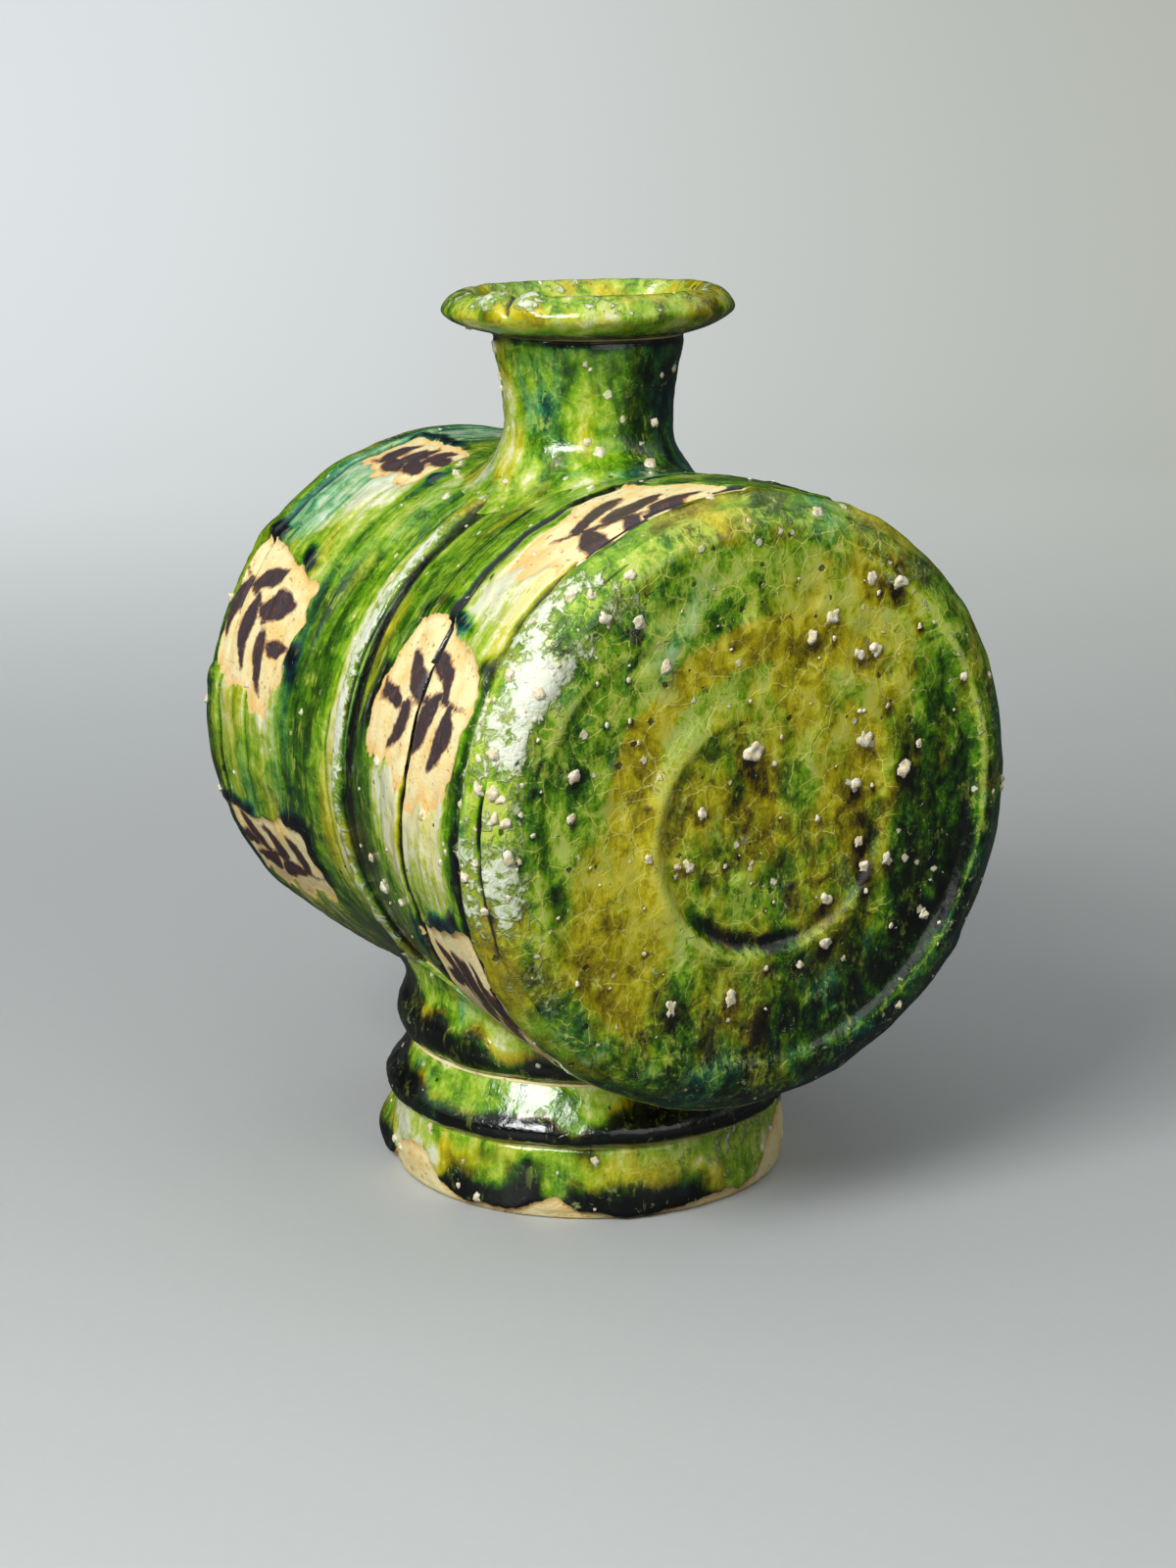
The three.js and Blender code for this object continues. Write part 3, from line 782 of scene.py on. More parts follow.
# How much the glaze thins below the panels of each half
WAKE_THINNING = {1: 1.15, -1: 0.6}
STROKE_SAMPLES = 18
ROUND_RUN = (1, 0.13, 0.13)
CRUST_ANGLE = 160
CRUST_PATCH_ANGLE = 154
OPEN_JOINT_ANGLE = 186
# Leaf sprays inside a panel of half size 1: start, bend and end of each stroke, and half its width in mm
LEAF_STROKES = [
    ((-0.86, 0.58), (-0.1, 0.36), (0.6, -0.3), 0.9),
    ((-0.52, 0.44), (-0.66, 0.0), (-0.48, -0.5), 2.9),
    ((-0.4, 0.4), (-0.12, 0.66), (0.2, 0.78), 2.8),
    ((-0.1, 0.24), (-0.16, -0.2), (0.06, -0.66), 3.1),
    ((0.08, 0.12), (0.36, 0.44), (0.68, 0.5), 2.9),
    ((0.3, -0.04), (0.34, -0.42), (0.52, -0.8), 2.6),
    ((0.5, -0.2), (0.72, -0.24), (0.94, -0.08), 2.4),
]
# Panels of each half: distance from the girth, angle down from the top, half length, half height and tilt
PANELS = {
    1: [(40, 71, 22, 16, -14), (57, 20, 17, 18, 24), (53, 124, 14, 17, 12),
        (42, 173, 20, 13, -8), (45, 225, 21, 15, 10), (41, 277, 22, 14, -12), (46, 327, 19, 15, 6)],
    -1: [(52, 67, 22, 17, 8), (46, 117, 23, 10, -6), (45, 19, 15, 9, 0),
         (44, 169, 20, 13, 8), (47, 220, 21, 15, -10), (43, 272, 22, 14, 12), (46, 323, 19, 15, -4)],
}
# Lines turned into each half: distance from the girth, depth and half width
LINES = {
    1: [(4.6, 2.0, 3.0), (36.4, 1.1, 2.1), (62.8, 1.2, 2.1), (24, 0.4, 0.7)],
    -1: [(47, 0.45, 0.8), (37, 0.35, 0.7), (62, 0.65, 1.2), (6.5, 0.5, 0.7)],
}
drum_stance = {
    side: {"origin": (0, 0, drum_axis), "axis": (side, 0, 0), "zero": (0, 0, 1), "side": (0, -1, 0)}
    for side in (1, -1)
}


def crust_front(points, side):
    """How far the white crust along the front of a rim has spread to a place, from 0 to 1."""
    turn = np.degrees(np.arctan2(points[..., 2] - drum_axis, points[..., 1] * side))
    return smooth(44, 24, np.abs(turn_offset(turn, CRUST_ANGLE)))


def glaze_and_shade_low_right(across, up):
    """How far an end is darker low on its right, from 0 to 1: glaze that ran and collected there, with
    painted shade away from the window light at the upper left.
    """
    return smooth(-6, 62, 0.6 * across - 0.8 * up)


def edge_glaze(points, side):
    """Fields of the glaze that runs over the joint of a rim and its disc, crusted at the front."""
    seed = 600 + 10 * side
    across, up = points[..., 1] * side, points[..., 2] - drum_axis
    front = crust_front(points, side)
    glaze_and_shade = glaze_and_shade_low_right(across, up)
    curds = cloud(points, 8, seed)
    off_joint = np.hypot(across, up) - half_radius[side] + RIM_WIDTH
    turn = np.degrees(np.arctan2(up, across)) % 360
    open_joint = swell(off_joint - 1 + 0.6 * curds, 1.1)
    open_joint = open_joint * smooth(22, 10, np.abs(turn_offset(turn, OPEN_JOINT_ANGLE)))
    patch = swell(turn_offset(turn, CRUST_PATCH_ANGLE), 19) * swell(off_joint, 8)
    patch = patch * (1 + 0.7 * cloud(points, 7, seed + 12))
    below_patch = smooth(166, 178, turn) * smooth(0, 1.5, off_joint)
    front = front * (1 - 0.4 * below_patch)
    crusted = front * (0.45 + 0.6 * cloud(points, 13, seed + 9)) + 0.8 * patch
    return {
        # Darker and bluer low on the right, partly from glaze and partly as painted shade.
        "pool": -0.18 + 0.3 * curds + 0.6 * glaze_and_shade - 0.2 * front + 2 * open_joint,
        "amber": 0.4 + 0.3 * cloud(points, 14, seed + 3) - 0.25 * glaze_and_shade - 0.25 * front,
        "teal": 0.05 + 0.3 * cloud(points, 14, seed + 6) + 0.35 * glaze_and_shade,
        "crust": 0.1 + 0.2 * curds + crusted - open_joint,
    }


def blend_edge(fields, points, side, share):
    """Passes glaze fields over into those of the rim's joint by a share."""
    for key, value in edge_glaze(points, side).items():
        fields[key] = fields[key] * (1 - share) + value * share


def panel_depth(across, down, half_size):
    """How far inside a panel a place lies, in millimetres, negative outside."""
    past = np.stack([np.abs(across) - half_size[0], np.abs(down) - half_size[1]]) + PANEL_CORNER
    outside = np.linalg.norm(np.maximum(past, 0), axis=0)
    return PANEL_CORNER - outside - np.minimum(past.max(axis=0), 0)


def leaf_depth(across, down, half_size, mirror):
    """How far inside the nearest leaf stroke of a panel a place lies, in millimetres."""
    best = np.full(across.shape, -9.0)
    for start, middle, end, half_width in LEAF_STROKES:
        corners = np.array([start, middle, end]) * np.multiply(half_size, mirror)
        for t in np.linspace(0, 1, STROKE_SAMPLES):
            spot = corners[0] * (1 - t) ** 2 + corners[1] * 2 * t * (1 - t) + corners[2] * t * t
            width = half_width * (0.25 + 0.75 * math.sin(math.pi * t ** 0.8))
            best = np.maximum(best, width - np.hypot(across - spot[0], down - spot[1]))
    return best


def panel_glaze(points, along, degrees, side, seed):
    """Fields of the panels: bare clay, brush strokes, thin glaze below them and glaze dammed above them."""
    shape = points.shape[:2]
    arc = math.pi / 180 * half_radius[side]
    clay, brush = np.full(shape, -9.0), np.full(shape, -9.0)
    thin, dam = np.zeros(shape), np.zeros(shape)
    ragged = 2.2 * cloud(points, 17, seed, 2) + 1.3 * cloud(points, 4.5, seed + 2)
    fingers = cloud(points, (3.4, 12, 12), seed + 3, 2)
    sway = 1.8 * cloud(points, 9, seed + 4)
    for number, (place, angle, *half_size, tilt_degrees) in enumerate(PANELS[side]):
        half_across, half_down = half_size
        across = along - place + 0 * degrees
        down = turn_offset(degrees, angle) * arc + 0 * along
        tilt = math.radians(tilt_degrees)
        turned_across = across * math.cos(tilt) - down * math.sin(tilt)
        turned_down = across * math.sin(tilt) + down * math.cos(tilt)
        downhill = down if angle < 180 else -down
        low_edge = smooth(0, half_down, downhill)
        inside = panel_depth(turned_across, turned_down, half_size) + ragged
        inside = inside * (1 - 0.55 * low_edge) + 1.8 * low_edge * fingers
        clay = np.maximum(clay, inside)
        mirror = (1 if number % 2 else -1, 1 if number % 3 else -1)
        brush = np.maximum(brush, leaf_depth(turned_across + sway, turned_down - sway, half_size, mirror))
        beyond = downhill - half_down * 0.7
        wake = smooth(half_across + 3, half_across - 7, np.abs(across + 3 * fingers)) * smooth(-3, 5, beyond)
        thin = np.maximum(thin, wake * smooth(52, 4, beyond))
        upper = smooth(0.2 * half_down, -0.5 * half_down, downhill + 0.4 * across)
        dam = np.maximum(dam, swell(inside + 2.2, 3.6) * upper)
    return np.clip(clay, -9, 9), brush, thin, dam


def wall_glaze(points, along, degrees, side):
    """Relief and fields of a drum half's outside, by distance from the girth and angle from the top."""
    seed = 300 + 100 * side
    shape = points.shape[:2]
    clay, brush, thin, dam = panel_glaze(points, along, degrees, side, seed)
    dammed = dam * smooth(-0.25, 0.35, cloud(points, 13, seed + 40, 2))
    waver = 1.1 * cloud(points * (0, 1, 1), 30, seed + 6, 2) + 0.3 * cloud(points, 6, seed + 7, 2)
    cut, dark_line = np.zeros(shape), np.zeros(shape)
    for place, depth, half_width in LINES[side]:
        strength = 0.95 + 0.4 * cloud(points * (0, 1, 1), 26, seed + int(place), 2)
        profile = swell(along - place + waver, half_width) * np.clip(strength, 0.2, 1.2)
        cut = cut + depth * profile
        dark_line = np.maximum(dark_line, profile * min(1, depth ** 2))
    rings = 0.12 * cloud(points, (2.6, 60, 60), seed + 20, 2)
    bumps = 0.55 * cloud(points, 15, seed + 24, 2) + 0.14 * cloud(points, 4, seed + 26, 2)
    relief = rings + bumps - cut
    relief = relief + 0.22 * swell(clay + 1.3, 1.6) + 0.6 * dammed - GLAZE_STEP * smooth(-0.2, 0.9, clay)
    down_front = degrees + 0 * along
    from_top = np.abs(turn_offset(degrees, 0)) + 0 * along
    underside = smooth(105, 160, from_top)
    crest = smooth(58, 22, from_top)
    streaks = cloud(points, (6, 26, 26), seed + 30)
    threads = cloud(points, (2.4, 18, 18), seed + 32, 2)
    broad = cloud(points, (18, 30, 30), seed + 34, 2)
    pool = -0.18 + 0.3 * streaks + 0.1 * threads + 0.36 * broad + 0.14 * underside - 0.12 * crest
    pool = pool + 2.4 * dark_line - WAKE_THINNING[side] * thin + 1.6 * dammed
    amber = 0.1 + 0.34 * cloud(points, (9, 26, 26), seed + 44, 2) + 0.22 * thin
    teal = 0.1 + 0.36 * cloud(points, (14, 28, 28), seed + 48, 2) + 0.7 * dammed
    rim = half_length[side] - RIM_ROLL
    clay = clay - 12 * smooth(-2, 1.5, along - rim + 1 + 2.2 * cloud(points, 7, seed + 60, 2))
    edge = rim - 5
    band = smooth(edge, edge + 4, along) + 0 * degrees
    if side < 0:
        ramp = smooth(8, 2, along) * smooth(170, 120, from_top)
        deep = swell(along - 21, 15) * smooth(40, 62, down_front) * smooth(150, 118, down_front)
        # Near its rim the top of the far half is lighter and bluer: teal glaze, with a painted bluish
        # reflection.
        far_top_teal_and_reflection = smooth(34, 58, along) * smooth(58, 34, from_top)
        pool = pool - 0.5 * ramp + 0.32 * deep - 0.14 * far_top_teal_and_reflection
        amber = amber + 0.3 * ramp
        teal = teal + far_top_teal_and_reflection
    fields = {
        "pool": pool,
        "amber": amber,
        "teal": teal,
        "crust": np.zeros(shape),
        "clay": np.where(dark_line > 0.42, np.minimum(clay, -1.6), clay),
        "brush": brush,
    }
    blend_edge(fields, points, side, band)
    return relief, fields


def quarter_round(centre, radius, start, end):
    """Points of a quarter circle after its first one, between two angles in degrees."""
    bend = np.radians(np.linspace(start, end, ROUND_STEPS))[1:, None]
    return centre + radius * np.hstack([np.cos(bend), np.sin(bend)])


def drum_half(side):
    """Outline, grid, glaze fields and the number of rows beside the hatch under the neck, of a drum half."""
    length, radius = half_length[side], half_radius[side]
    outer_along = np.append(np.arange(GIRTH_GAP, length - RIM_ROLL, WALL_STEP), length - RIM_ROLL)
    outer = np.stack([wall_radius(outer_along, side), outer_along], 1)
    roll = quarter_round((radius - RIM_ROLL, length - RIM_ROLL), RIM_ROLL, 0, 90)
    seat = radius - RIM_WIDTH
    ledge_end = length - SEAT_DEPTH - LEDGE_THICKNESS
    wall_end = ledge_end - LEDGE_THICKNESS
    seats = [(seat, length), (seat, length - SEAT_DEPTH), (seat - LEDGE_WIDTH, length - SEAT_DEPTH),
             (seat - LEDGE_WIDTH, ledge_end), (radius - DRUM_WALL, wall_end)]
    hatch_rows = int((outer_along <= HATCH_LENGTH).sum()) - 1
    inner_along = np.arange(wall_end - INNER_STEP, HATCH_LENGTH + HATCH_MARGIN, -INNER_STEP)
    inner_along = np.append(inner_along, outer_along[hatch_rows::-1])
    inner = np.stack([wall_radius(inner_along, side) - DRUM_WALL, inner_along], 1)
    outline = np.vstack([outer, roll, seats, inner])
    shown = np.arange(len(outline)) < len(outer) + len(roll)
    points, normals, degrees = turned(outline, DRUM_TURNS, drum_stance[side])
    along = outline[:, 1, None]
    relief, fields = wall_glaze(points, along, degrees[None], side)
    outside = shown[:, None]
    fields["clay"] = np.where(outside, fields["clay"], LEFT_BARE)
    fields["brush"] = np.where(outside, fields["brush"], GLAZE_FIELDS["brush"])
    from_seat = np.clip(outline[:, 0] - seat, 0, None) / (2 * SLIP_FILLET)
    on_roll = outline[:, 1] > length - RIM_ROLL
    slip_fillet = SLIP_FILLET * on_roll * np.clip(1 - from_seat, 0, 1) ** 2
    relief = (relief * smooth(0, 2.5, outline[:, :1] - seat) + slip_fillet[:, None]) * outside
    points = points + normals * relief[..., None]
    return outline, shown, points, normals, degrees, fields, hatch_rows


def hatch_faces(rows, degrees, hatch_rows):
    """Faces of a drum half: a ring left open over the hatch, whose edge is walled from outside to inside."""
    columns = len(degrees)
    faces = ring_faces(rows, columns)
    row, column = np.divmod(np.arange(len(faces)), columns)
    first, last = np.flatnonzero(np.abs(degrees) <= HATCH_DEGREES)[[0, -1]]
    over_hatch = (column >= first) & (column < last)
    open_rows = (row < hatch_rows) | (row >= rows - 1 - hatch_rows)
    walls = []

    def number(i, j):
        return i * columns + j

    for j in range(first, last):
        end, inner_end = hatch_rows, rows - 1 - hatch_rows
        walls.append([number(end, j), number(end, j + 1), number(inner_end, j + 1), number(inner_end, j)])
    for i in range(hatch_rows):
        inner, deeper = rows - 1 - i, rows - 2 - i
        walls.append([number(i, first), number(i + 1, first), number(deeper, first), number(inner, first)])
        walls.append([number(i + 1, last), number(i, last), number(inner, last), number(deeper, last)])
    return faces, ~(over_hatch & open_rows), np.array(walls)


half_names = {1: "drum_half_right", -1: "drum_half_left"}
half_grids = {}
for side, node in half_names.items():
    outline, shown, points, normals, degrees, fields, hatch_rows = drum_half(side)
    faces, kept, walls = hatch_faces(len(outline), degrees, hatch_rows)
    uvs = ring_uvs(outline, shown, DRUM_TURNS)[kept]
    wall_uvs = np.tile(np.array([[0, 0], [0, 1], [1, 1], [1, 0]]) * UV_MARGIN / 2, (len(walls), 1, 1))
    faces, uvs = np.vstack([faces[kept], walls]), np.vstack([uvs, wall_uvs])
    half_glaze = glazed(node + "_glaze", run=ROUND_RUN, craze=0.3)
    seat_piece(make_piece("glazed_" + node, points, faces, uvs, fields, half_glaze), node)
    half_grids[side] = shown_grid(points, normals, shown)


# GIRTH COIL
# A thin roll of clay pressed into the notch where the two halves meet, and wiped down with slip.
# Glaze ran off its crown, so it shows pale, with white crust where the slip stands dry.

COIL_TURNS = 560
COIL_HALF_WIDTH = 2.5
COIL_DEPTH = 2
COIL_GAP_DEGREES = 13
COIL_STRIPS = 5
COIL_BEND_STEP = 24
coil_bend = np.radians(np.arange(0, 360, COIL_BEND_STEP))
coil_section = np.stack([
    girth_radius + np.where(np.cos(coil_bend) > 0, COIL_CROWN, COIL_DEPTH) * np.cos(coil_bend),
    COIL_HALF_WIDTH * np.sin(coil_bend),
], 1)
points, normals, degrees = turned(coil_section, COIL_TURNS, drum_stance[1])
open_columns = np.flatnonzero(np.abs(degrees) <= COIL_GAP_DEGREES)
coil_end, coil_start = open_columns[0] - 1, open_columns[-1] + 1
crown = np.clip(np.cos(coil_bend), 0, 1)[:, None]
relief = (0.5 * cloud(points, (4, 8, 8), 520) + 0.25 * cloud(points, 2.5, 525, 2)) * crown
coil_points = points + normals * relief[..., None]
coil_points[..., 0] += 0.5 * cloud(points * (0, 1, 1), 22, 530, 2)
front = smooth(28, 46, degrees) * smooth(112, 84, degrees)
coil_fields = {
    "pool": -0.75 * crown + 0.6 * (1 - crown) + 0.3 * cloud(points, (3, 10, 10), 540),
    "amber": 0.36 + 0.3 * cloud(points, 14, 550),
    "teal": 0.02 + 0.3 * cloud(points, 18, 560),
    "crust": (0.5 + 0.3 * front + 0.35 * cloud(points, 8, 570)) * crown,
}
coil_faces = ring_faces(len(coil_section), COIL_TURNS)
coil_column = np.tile(np.arange(COIL_TURNS), len(coil_section))
coil_kept = ~((coil_column >= coil_end) & (coil_column < coil_start))
coil_faces = np.where(coil_faces % COIL_TURNS == coil_start, coil_start, coil_faces)
coil_faces = np.where(coil_faces % COIL_TURNS == coil_end, coil_end, coil_faces)
coil_uvs = ring_uvs(coil_section, np.full(len(coil_section), True), COIL_TURNS, COIL_STRIPS)
girth_coil = make_piece(
    "glazed_girth_coil", coil_points, coil_faces[coil_kept], coil_uvs[coil_kept], coil_fields,
    glazed("girth_coil_glaze", run=ROUND_RUN, craze=0.2),
)
seat_piece(girth_coil, "girth_coil")


# END DISCS
# Flat ends thrown as discs and let into the rims. The thrower's finger left a raised spiral on each.
# The glaze stood upright on them in the kiln, ran down in amber streaks and crazed as it cooled.

DISC_TURNS = 420
DISC_STEP = 0.7
DISC_PROUD = 3.5
DISC_EDGE_ROUND = 4
DISC_THICKNESS = 9.5
DISC_SEAT_DEPTH = 2.5
DISC_CLEARANCE = -0.2
JOINT_FILLET = 1.5
RIDGE_HEIGHT = 1.15
RIDGE_OUTER_FLANK = 5
RIDGE_INNER_FLANK = 2.6
GROOVE_OFFSET = 3.4
GROOVE_DEPTH = 0.85
FAR_SPIRAL_LEAD = 130
DIMPLES = 34
DIMPLE_REACH = 50
DISC_RUN = (1, 1, 0.55)
SMALL_GRIT = 64
FACE_UV_CENTRE = 0.46
FACE_UV_REACH = 0.455
BACK_UV_CENTRE = 0.94
BACK_UV_INNER = 0.03
BACK_UV_WIDTH = 0.02
# The spiral ridge: angle from the +Y side up, its radius there, its height and how pale its crest is
SPIRAL = [
    (90, 21, 0, 0), (140, 23, 0.5, 0.2), (180, 25.5, 1, 0.8), (235, 29.5, 1.1, 1), (262, 31, 1, 0.3),
    (290, 32, 0.8, 0.12), (330, 32, 0.45, 0.2), (365, 32, 0.5, 0.15), (415, 33.5, 0.5, 0.1),
    (460, 40, 0.25, 0), (500, 51, 0.2, 0.1), (511, 52.5, 0.4, 0.6), (522, 53, 0.3, 0.4),
    (540, 53, 0.2, 0.1), (575, 53.5, 0.6, 0.1), (600, 54.5, 0.8, 0.15), (640, 55.5, 0.5, 0.2),
    (680, 55.5, 0.7, 0.6), (720, 55.5, 0.9, 0.9), (765, 56, 0.6, 0.8), (800, 56.5, 0, 0),
]
# Lumps of grit that stand out on the shown end: across, up from the axis, and size
MARKED_GRIT = [
    (-2, 13, 4.8), (25, 13, 4.8), (35, 6, 4.4), (17, 40, 3.8), (33, 45, 3.6), (-22, -39, 3.6),
    (16, -30, 3.4), (-7, -39, 3.4), (-30, 42, 3.4), (11, 36, 3.2), (26, 47, 3.2), (31, -14, 3.2),
    (-23, 33, 3.2), (-44, 13, 3), (27, 32, 3), (23, 3, 3), (26, -15, 3), (16, -21, 3), (-18, -9, 2.9),
    (-15, 2, 2.8), (-28, -6, 2.6), (23, 31, 2.6), (24, -9, 2.6), (42, -28, 2.6), (39, 10, 2.2),
    (-45, 5, 2.2), (10, -34, 2), (50, 24, 2),
]


def spiral_ridge(radius, degrees, lead):
    """Height, pale crest and the groove inside the finger spiral, each from 0 to about 1."""
    height, crest, groove = np.zeros((3, *radius.shape))
    angle, ridge_radius, strength, paleness = np.transpose(SPIRAL)
    for turn in range(3):
        at = (degrees + lead) % 360 + 360 * turn
        share = np.interp(at, angle, strength, left=0, right=0)
        pale = np.interp(at, angle, paleness, left=0, right=0)
        off = radius - np.interp(at, angle, ridge_radius)
        flank = np.where(off > 0, RIDGE_OUTER_FLANK, RIDGE_INNER_FLANK)
        height = np.maximum(height, share * swell(off, flank))
        crest = np.maximum(crest, pale * swell(off - 0.3, 1.2))
        groove = np.maximum(groove, share * swell(off + GROOVE_OFFSET, 2.8))
    return height, crest, groove


def disc_spots(side):
    """Where grit lies on a disc: across, up and size of each lump."""
    draw = np.random.default_rng(71 + side)
    reach = (half_radius[side] - RIM_WIDTH - DISC_EDGE_ROUND) * np.sqrt(draw.random(SMALL_GRIT))
    turn = 2 * math.pi * draw.random(SMALL_GRIT)
    size = 0.6 + 1.2 * draw.random(SMALL_GRIT) ** 2
    small = np.stack([reach * np.cos(turn), reach * np.sin(turn), size], 1)
    marked = np.array(MARKED_GRIT)
    return np.vstack([small, marked if side > 0 else marked * (-1, -1, 1)])


def disc_glaze(points, radius, degrees, side):
    """Relief and glaze fields of a disc's face at radii and angles from the +Y side up."""
    seed = 700 + 50 * side
    across, up = points[..., 1] * side, points[..., 2] - drum_axis
    height, crest, groove = spiral_ridge(radius, degrees, 0 if side > 0 else FAR_SPIRAL_LEAD)
    low = swell(turn_offset(degrees, 262), 62) * smooth(42, 36, radius)
    dips, grit_pit_and_shadow = np.zeros((2, *radius.shape))
    draw = np.random.default_rng(seed)
    for _ in range(DIMPLES):
        reach, turn = DIMPLE_REACH * math.sqrt(draw.random()), 2 * math.pi * draw.random()
        width, depth = 3 + 3.5 * draw.random(), 0.3 + 0.45 * draw.random()
        away = np.hypot(points[..., 1] - reach * math.cos(turn), up - reach * math.sin(turn))
        dips = np.maximum(dips, depth * swell(away, width))
    # Under each lump of grit the glaze is darker: a pit, and a painted shadow of the lump.
    for spot_across, spot_up, size in disc_spots(side):
        away = np.hypot(points[..., 1] - spot_across, (up - spot_up + 0.55 * size) * 0.85)
        grit_pit_and_shadow = np.maximum(grit_pit_and_shadow, np.exp(-(away / (0.7 * size)) ** 2))
    relief = RIDGE_HEIGHT * height - GROOVE_DEPTH * groove * (0.35 + 0.8 * low) - dips
    relief = relief + 0.45 * cloud(points, 16, seed + 2, 2) + 0.16 * cloud(points, 5, seed + 4)
    streaks = cloud(points, (20, 6, 26), seed + 10)
    curds = cloud(points, 10, seed + 14)
    mint = smooth(0.2, 0.9, cloud(points, 13, seed + 16))
    # Darker, bluer and less amber low on the right, lighter at the top: partly glaze that ran down, partly
    # painted shade and light from the window light at the upper left.
    glaze_and_shade = glaze_and_shade_low_right(across, up)
    right = smooth(20, 52, across)
    upper_left = smooth(14, 44, 0.6 * up - 0.75 * across)
    crown = smooth(16, 40, up) * smooth(46, 26, across)
    left_band = swell(across + 35, 18) * smooth(42, 12, np.abs(up + 12))
    arc_radius = 35 - 0.05 * turn_offset(degrees, 110)
    amber_arc = swell(radius - arc_radius, 6) * smooth(80, 45, np.abs(turn_offset(degrees, 115)))
    core = smooth(27, 18, radius)
    pool = -0.46 + 0.34 * streaks + 0.28 * curds - 0.2 * mint + 0.84 * glaze_and_shade + 0.5 * right
    pool = pool + 0.16 * upper_left - 0.26 * crown * (1 - upper_left)
    amber = 0.5 + 0.24 * cloud(points, (20, 10, 26), seed + 20) + 0.5 * left_band + 0.9 * amber_arc
    amber = amber + 0.1 * crown - 0.72 * upper_left * (1 - amber_arc) - 0.38 * right
    teal = -0.1 + 0.26 * cloud(points, (20, 12, 20), seed + 24) + 0.24 * upper_left + 0.36 * glaze_and_shade
    fields = {
        "pool": (pool + 0.28 * core) * (1 - 0.7 * amber_arc) - 0.2 * amber_arc,
        "amber": amber - 0.26 * glaze_and_shade - 0.14 * mint + 0.25 * grit_pit_and_shadow,
        "teal": teal + 0.1 * mint,
        "milk": 0.12 * mint + 0.25 * crest + 0.04 * (upper_left + crown) - 0.15 * amber_arc - 0.1 * grit_pit_and_shadow,
        "crust": np.zeros(radius.shape),
    }
    blend_edge(fields, points, side, smooth(52, 58, radius + 2 * curds))
    inward = 58 - 0.21 * turn_offset(degrees, 151)
    beside_crust = swell(radius - inward, 3.5) * smooth(44, 24, np.abs(turn_offset(degrees, 168)))
    deepened = groove * (0.22 + 0.95 * low) + 0.7 * grit_pit_and_shadow + 0.3 * dips + 0.5 * beside_crust
    fields["pool"] = fields["pool"] + deepened - 1.2 * crest
    fields["crust"] = fields["crust"] + 0.25 * crest - 0.4 * beside_crust
    return relief, fields


def disc_uvs(outline, shown, degrees):
    """Flat layout of a disc: its face as seen from in front, its back small in a corner."""
    travel = np.append(0, np.cumsum(np.linalg.norm(np.diff(outline, axis=0), axis=1)))
    face_reach = FACE_UV_REACH * travel / travel[shown][-1]
    back_reach = BACK_UV_INNER + BACK_UV_WIDTH * (travel[-1] - travel) / travel[-1]
    spread = np.where(shown, face_reach, back_reach)
    centre = np.where(shown[:, None], FACE_UV_CENTRE, BACK_UV_CENTRE)
    angle = np.radians(np.append(degrees, degrees[0]))
    spoke = np.stack([np.cos(angle), np.sin(angle)], 1)
    places = centre[:, None] + spread[:, None, None] * spoke
    ahead = np.roll(places, -1, 0)
    corners = [places[:, :-1], ahead[:, :-1], ahead[:, 1:], places[:, 1:]]
    return np.stack(corners, 2).reshape(-1, 4, 2)


def disc_outline(side):
    """Half section of a disc from the middle of its face over its round edge to the middle of its back."""
    edge_radius = half_radius[side] - RIM_WIDTH - DISC_CLEARANCE
    face = half_length[side] + DISC_PROUD
    flat = edge_radius - DISC_EDGE_ROUND
    seat = half_length[side] - DISC_SEAT_DEPTH
    boss = edge_radius - LEDGE_WIDTH
    back = face - DISC_THICKNESS
    face_radii = np.linspace(0, flat, round(flat / DISC_STEP))
    face_rows = np.stack([face_radii, np.full(len(face_radii), face)], 1)
    round_rows = quarter_round((flat, face - DISC_EDGE_ROUND), DISC_EDGE_ROUND, 90, 0)
    back_rows = [(edge_radius, seat), (boss, seat), (boss, back), (0, back)]
    outline = np.vstack([face_rows, round_rows, back_rows])
    return outline, np.arange(len(outline)) < len(face_rows) + len(round_rows)


disc_grids = {}
for side, node in {1: "end_disc_right", -1: "end_disc_left"}.items():
    outline, shown = disc_outline(side)
    stance = {"origin": (0, 0, drum_axis), "axis": (side, 0, 0), "zero": (0, 1, 0), "side": (0, 0, 1)}
    points, normals, degrees = turned(outline, DISC_TURNS, stance)
    normals[0] = (side, 0, 0)
    radius = outline[:, :1] + 0 * degrees
    relief, fields = disc_glaze(points, radius, degrees + 0 * radius, side)
    proud = points[..., 0] * side - half_length[side]
    edge_fillet = JOINT_FILLET * np.clip(1 - proud / (2 * JOINT_FILLET), 0, 1) ** 2
    relief = (relief * smooth(-1, 1, proud) + edge_fillet) * shown[:, None]
    relief[0] = relief[0].mean()
    fields["clay"] = np.where(shown[:, None], GLAZED_OVER, LEFT_BARE)
    points = points + normals * relief[..., None]
    faces = ring_faces(len(outline), DISC_TURNS)
    last_row = (len(outline) - 1) * DISC_TURNS
    faces = np.where(faces < DISC_TURNS, 0, np.where(faces >= last_row, last_row, faces))
    uvs = disc_uvs(outline, shown, degrees)
    disc_glaze_coat = glazed(
        node + "_glaze", run=DISC_RUN, curd=1.4, craze=0.85, speck_share=0.2, thinnest=-0.74,
    )
    seat_piece(make_piece("glazed_" + node, points, faces, uvs, fields, disc_glaze_coat), node)
    disc_grids[side] = shown_grid(points, normals, shown)


# NECK
# A short thrown neck, drawn in above its root and flared where it sits on the drum like a saddle.
# Slip was smoothed from it over the drum, so that its edge vanishes under the glaze.

